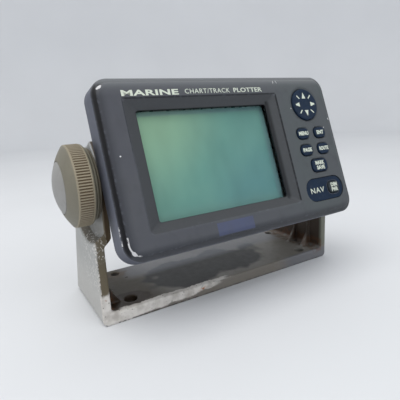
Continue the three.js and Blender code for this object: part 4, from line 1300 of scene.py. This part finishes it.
def bracket():
    _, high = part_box("mounting_bracket")
    half = high.x / MM
    inner = half - ARM_THICK
    made = add("bracket_casting", prism(u_outline(), "y", -40, 40))
    tools = []
    for side in (-1, 1):
        tools.append(("UNION", solid_x(side, EAR_PAD + [(40, inner + 0.8), (40, inner + 1.5)])))
        for y in GUSSET_YS:
            web = [(side * (inner + 1), 7), (side * (inner - GUSSET_EDGE[0][0]), 7)]
            web += [(side * (inner - run), FLOOR_THICK + rise) for run, rise in GUSSET_EDGE]
            web.append((side * (inner + 1), FLOOR_THICK + GUSSET_EDGE[-1][1]))
            tools.append(("UNION", prism(web, "y", y - 1.2, y + 1.2)))
    tools.append(("INTERSECT", prism(side_outline(), "x", -half - 1, half + 1)))
    for side in (-1, 1):
        tools.append(("DIFFERENCE", solid_x(side, DISH + [(36.6, half + 0.5)])))
        tools.append(("DIFFERENCE", solid_x(side, [(STUD_HOLE, 80), (STUD_HOLE, 99)])))
    for x, y, radius in BRACKET_HOLES:
        tools.append(("DIFFERENCE", prism(circle(radius, (x, y), 40), "z", -5, 20)))
    carve(made, tools)
    modify(made, "REMESH", mode="VOXEL", voxel_size=VOXEL * MM)
    bake(made)
    sharpness = edge_wear(made)
    modify(made, "SMOOTH", factor=0.5, iterations=3)
    layer = made.data.attributes.new("wear", "FLOAT", "POINT")
    layer.data.foreach_set("value", sharpness)
    modify(made, "DECIMATE", ratio=0.35)
    bake(made)
    settle(made, "bracket", "bracket_cast", ["mounting_bracket"], None, 60, False)


def read(items, name, width, kind):
    values = np.zeros(len(items) * width, kind)
    items.foreach_get(name, values)
    return values.reshape(-1, width)


def edge_wear(made):
    """How close each vertex is to an outside edge: how far the smoothed surface falls inside it."""
    mesh = made.data
    count = len(mesh.vertices)
    points = read(mesh.vertices, "co", 3, np.float32).astype(float)
    normals = read(mesh.vertices, "normal", 3, np.float32)
    ends = read(mesh.edges, "vertices", 2, np.int32)
    smooth = points.copy()
    degree = np.bincount(ends.ravel(), minlength=count)[:, None]
    for _ in range(4):
        total = np.zeros_like(smooth)
        for axis in range(3):
            for a, b in ((0, 1), (1, 0)):
                total[:, axis] += np.bincount(ends[:, a], smooth[ends[:, b], axis], count)
        smooth = total / np.maximum(degree, 1)
    sunk = ((points - smooth) * normals).sum(1) / MM
    return np.clip((sunk - 0.08) / 0.3, 0, 1).astype(np.float32)


# Stage.


FOCAL_PX = 380.7
SENSOR = 36
VIEW = {"yaw": 30.11, "pitch": 13.12, "roll": -3.1, "at": (-146.93, -245.61, 125.47)}


def camera():
    """The main view: its place and aim, with the focal length that fits a 400-pixel frame."""
    data = bpy.data.cameras.new("camera")
    data.sensor_width = SENSOR
    data.lens = SENSOR * FOCAL_PX / 400
    data.clip_start = 0.01
    made = add("camera", data)
    yaw, pitch, roll = (radians(VIEW[key]) for key in ("yaw", "pitch", "roll"))
    forward = Vector((sin(yaw) * cos(pitch), cos(yaw) * cos(pitch), -sin(pitch)))
    level = Vector((cos(yaw), -sin(yaw), 0))
    above = level.cross(forward)
    right = cos(roll) * level + sin(roll) * above
    up = -sin(roll) * level + cos(roll) * above
    turn = Matrix((right, up, -forward)).transposed().to_4x4()
    made.matrix_world = Matrix.Translation(Vector(VIEW["at"]) * MM) @ turn
    bpy.context.scene.camera = made


def area_light(name, at, target, size, power, colour):
    data = bpy.data.lights.new(name, "AREA")
    data.shape = "DISK"
    data.size = size
    data.energy = power
    data.color = colour
    made = add(name, data)
    made.location = at
    made.rotation_mode = "QUATERNION"
    made.rotation_quaternion = (Vector(target) - Vector(at)).to_track_quat("-Z", "Y")


def sweep_floor():
    """A round pale floor that curves up into a low wall all round."""
    skin = Skin()
    rows = [(60, 0), (400, 0), (1500, 0)]
    rows += [(1500 + 500 * sin(a), 500 - 500 * cos(a)) for a in np.linspace(0.1, pi / 2, 14)]
    rows.append((2000, 1100))
    rings = [skin.ring([(x, y, z) for x, y in circle(radius, steps=96)]) for radius, z in rows]
    skin.chain(rings)
    skin.cap(rings[0])
    floor = add("floor", mesh_of("floor", skin))
    floor.data.shade_smooth()
    p = Paint("floor_card")
    p.base = p.mix(p.patches(0.3, 0.7, 300, 3, 1), srgb(214, 216, 220), srgb(217, 219, 223))
    floor.data.materials.append(p.finish(p.scaled(p.noise(40), 0.05, 0.6), specular=0.3))


def studio():
    world = bpy.data.worlds.new("studio")
    bpy.context.scene.world = world
    world.use_nodes = True
    sky = world.node_tree.nodes["Background"]
    sky.inputs["Color"].default_value = (0.93, 0.945, 0.95, 1)
    sky.inputs["Strength"].default_value = 0.8
    area_light("key", (-0.65, -0.2, 1.4), (0, 0, 0.05), 1.6, 13.8, (1, 0.985, 0.95))
    area_light("fill", (0.5, -1.2, 0.9), (0, 0, 0.05), 1.2, 5, (0.94, 0.97, 1))
    bpy.context.scene.view_settings.view_transform = "Standard"
    sweep_floor()


# Assembly.


def dress_cad_nodes():
    """Gives every CAD node the material of its slot; those that are replaced never show."""
    for part in frame["record"]["subparts"]:
        node = frame["nodes"][part["node"]]
        node.data.materials.clear()
        node.data.materials.append(MATERIALS[part["material_slot"]])


def main():
    camera()
    studio()
    dress_cad_nodes()
    front_bezel()
    keys()
    cursor_pad()
    badge()
    legends()
    rear_case()
    connectors()
    for side, name in ((-1, "left"), (1, "right")):
        knob(side, name)
    bracket()


main()
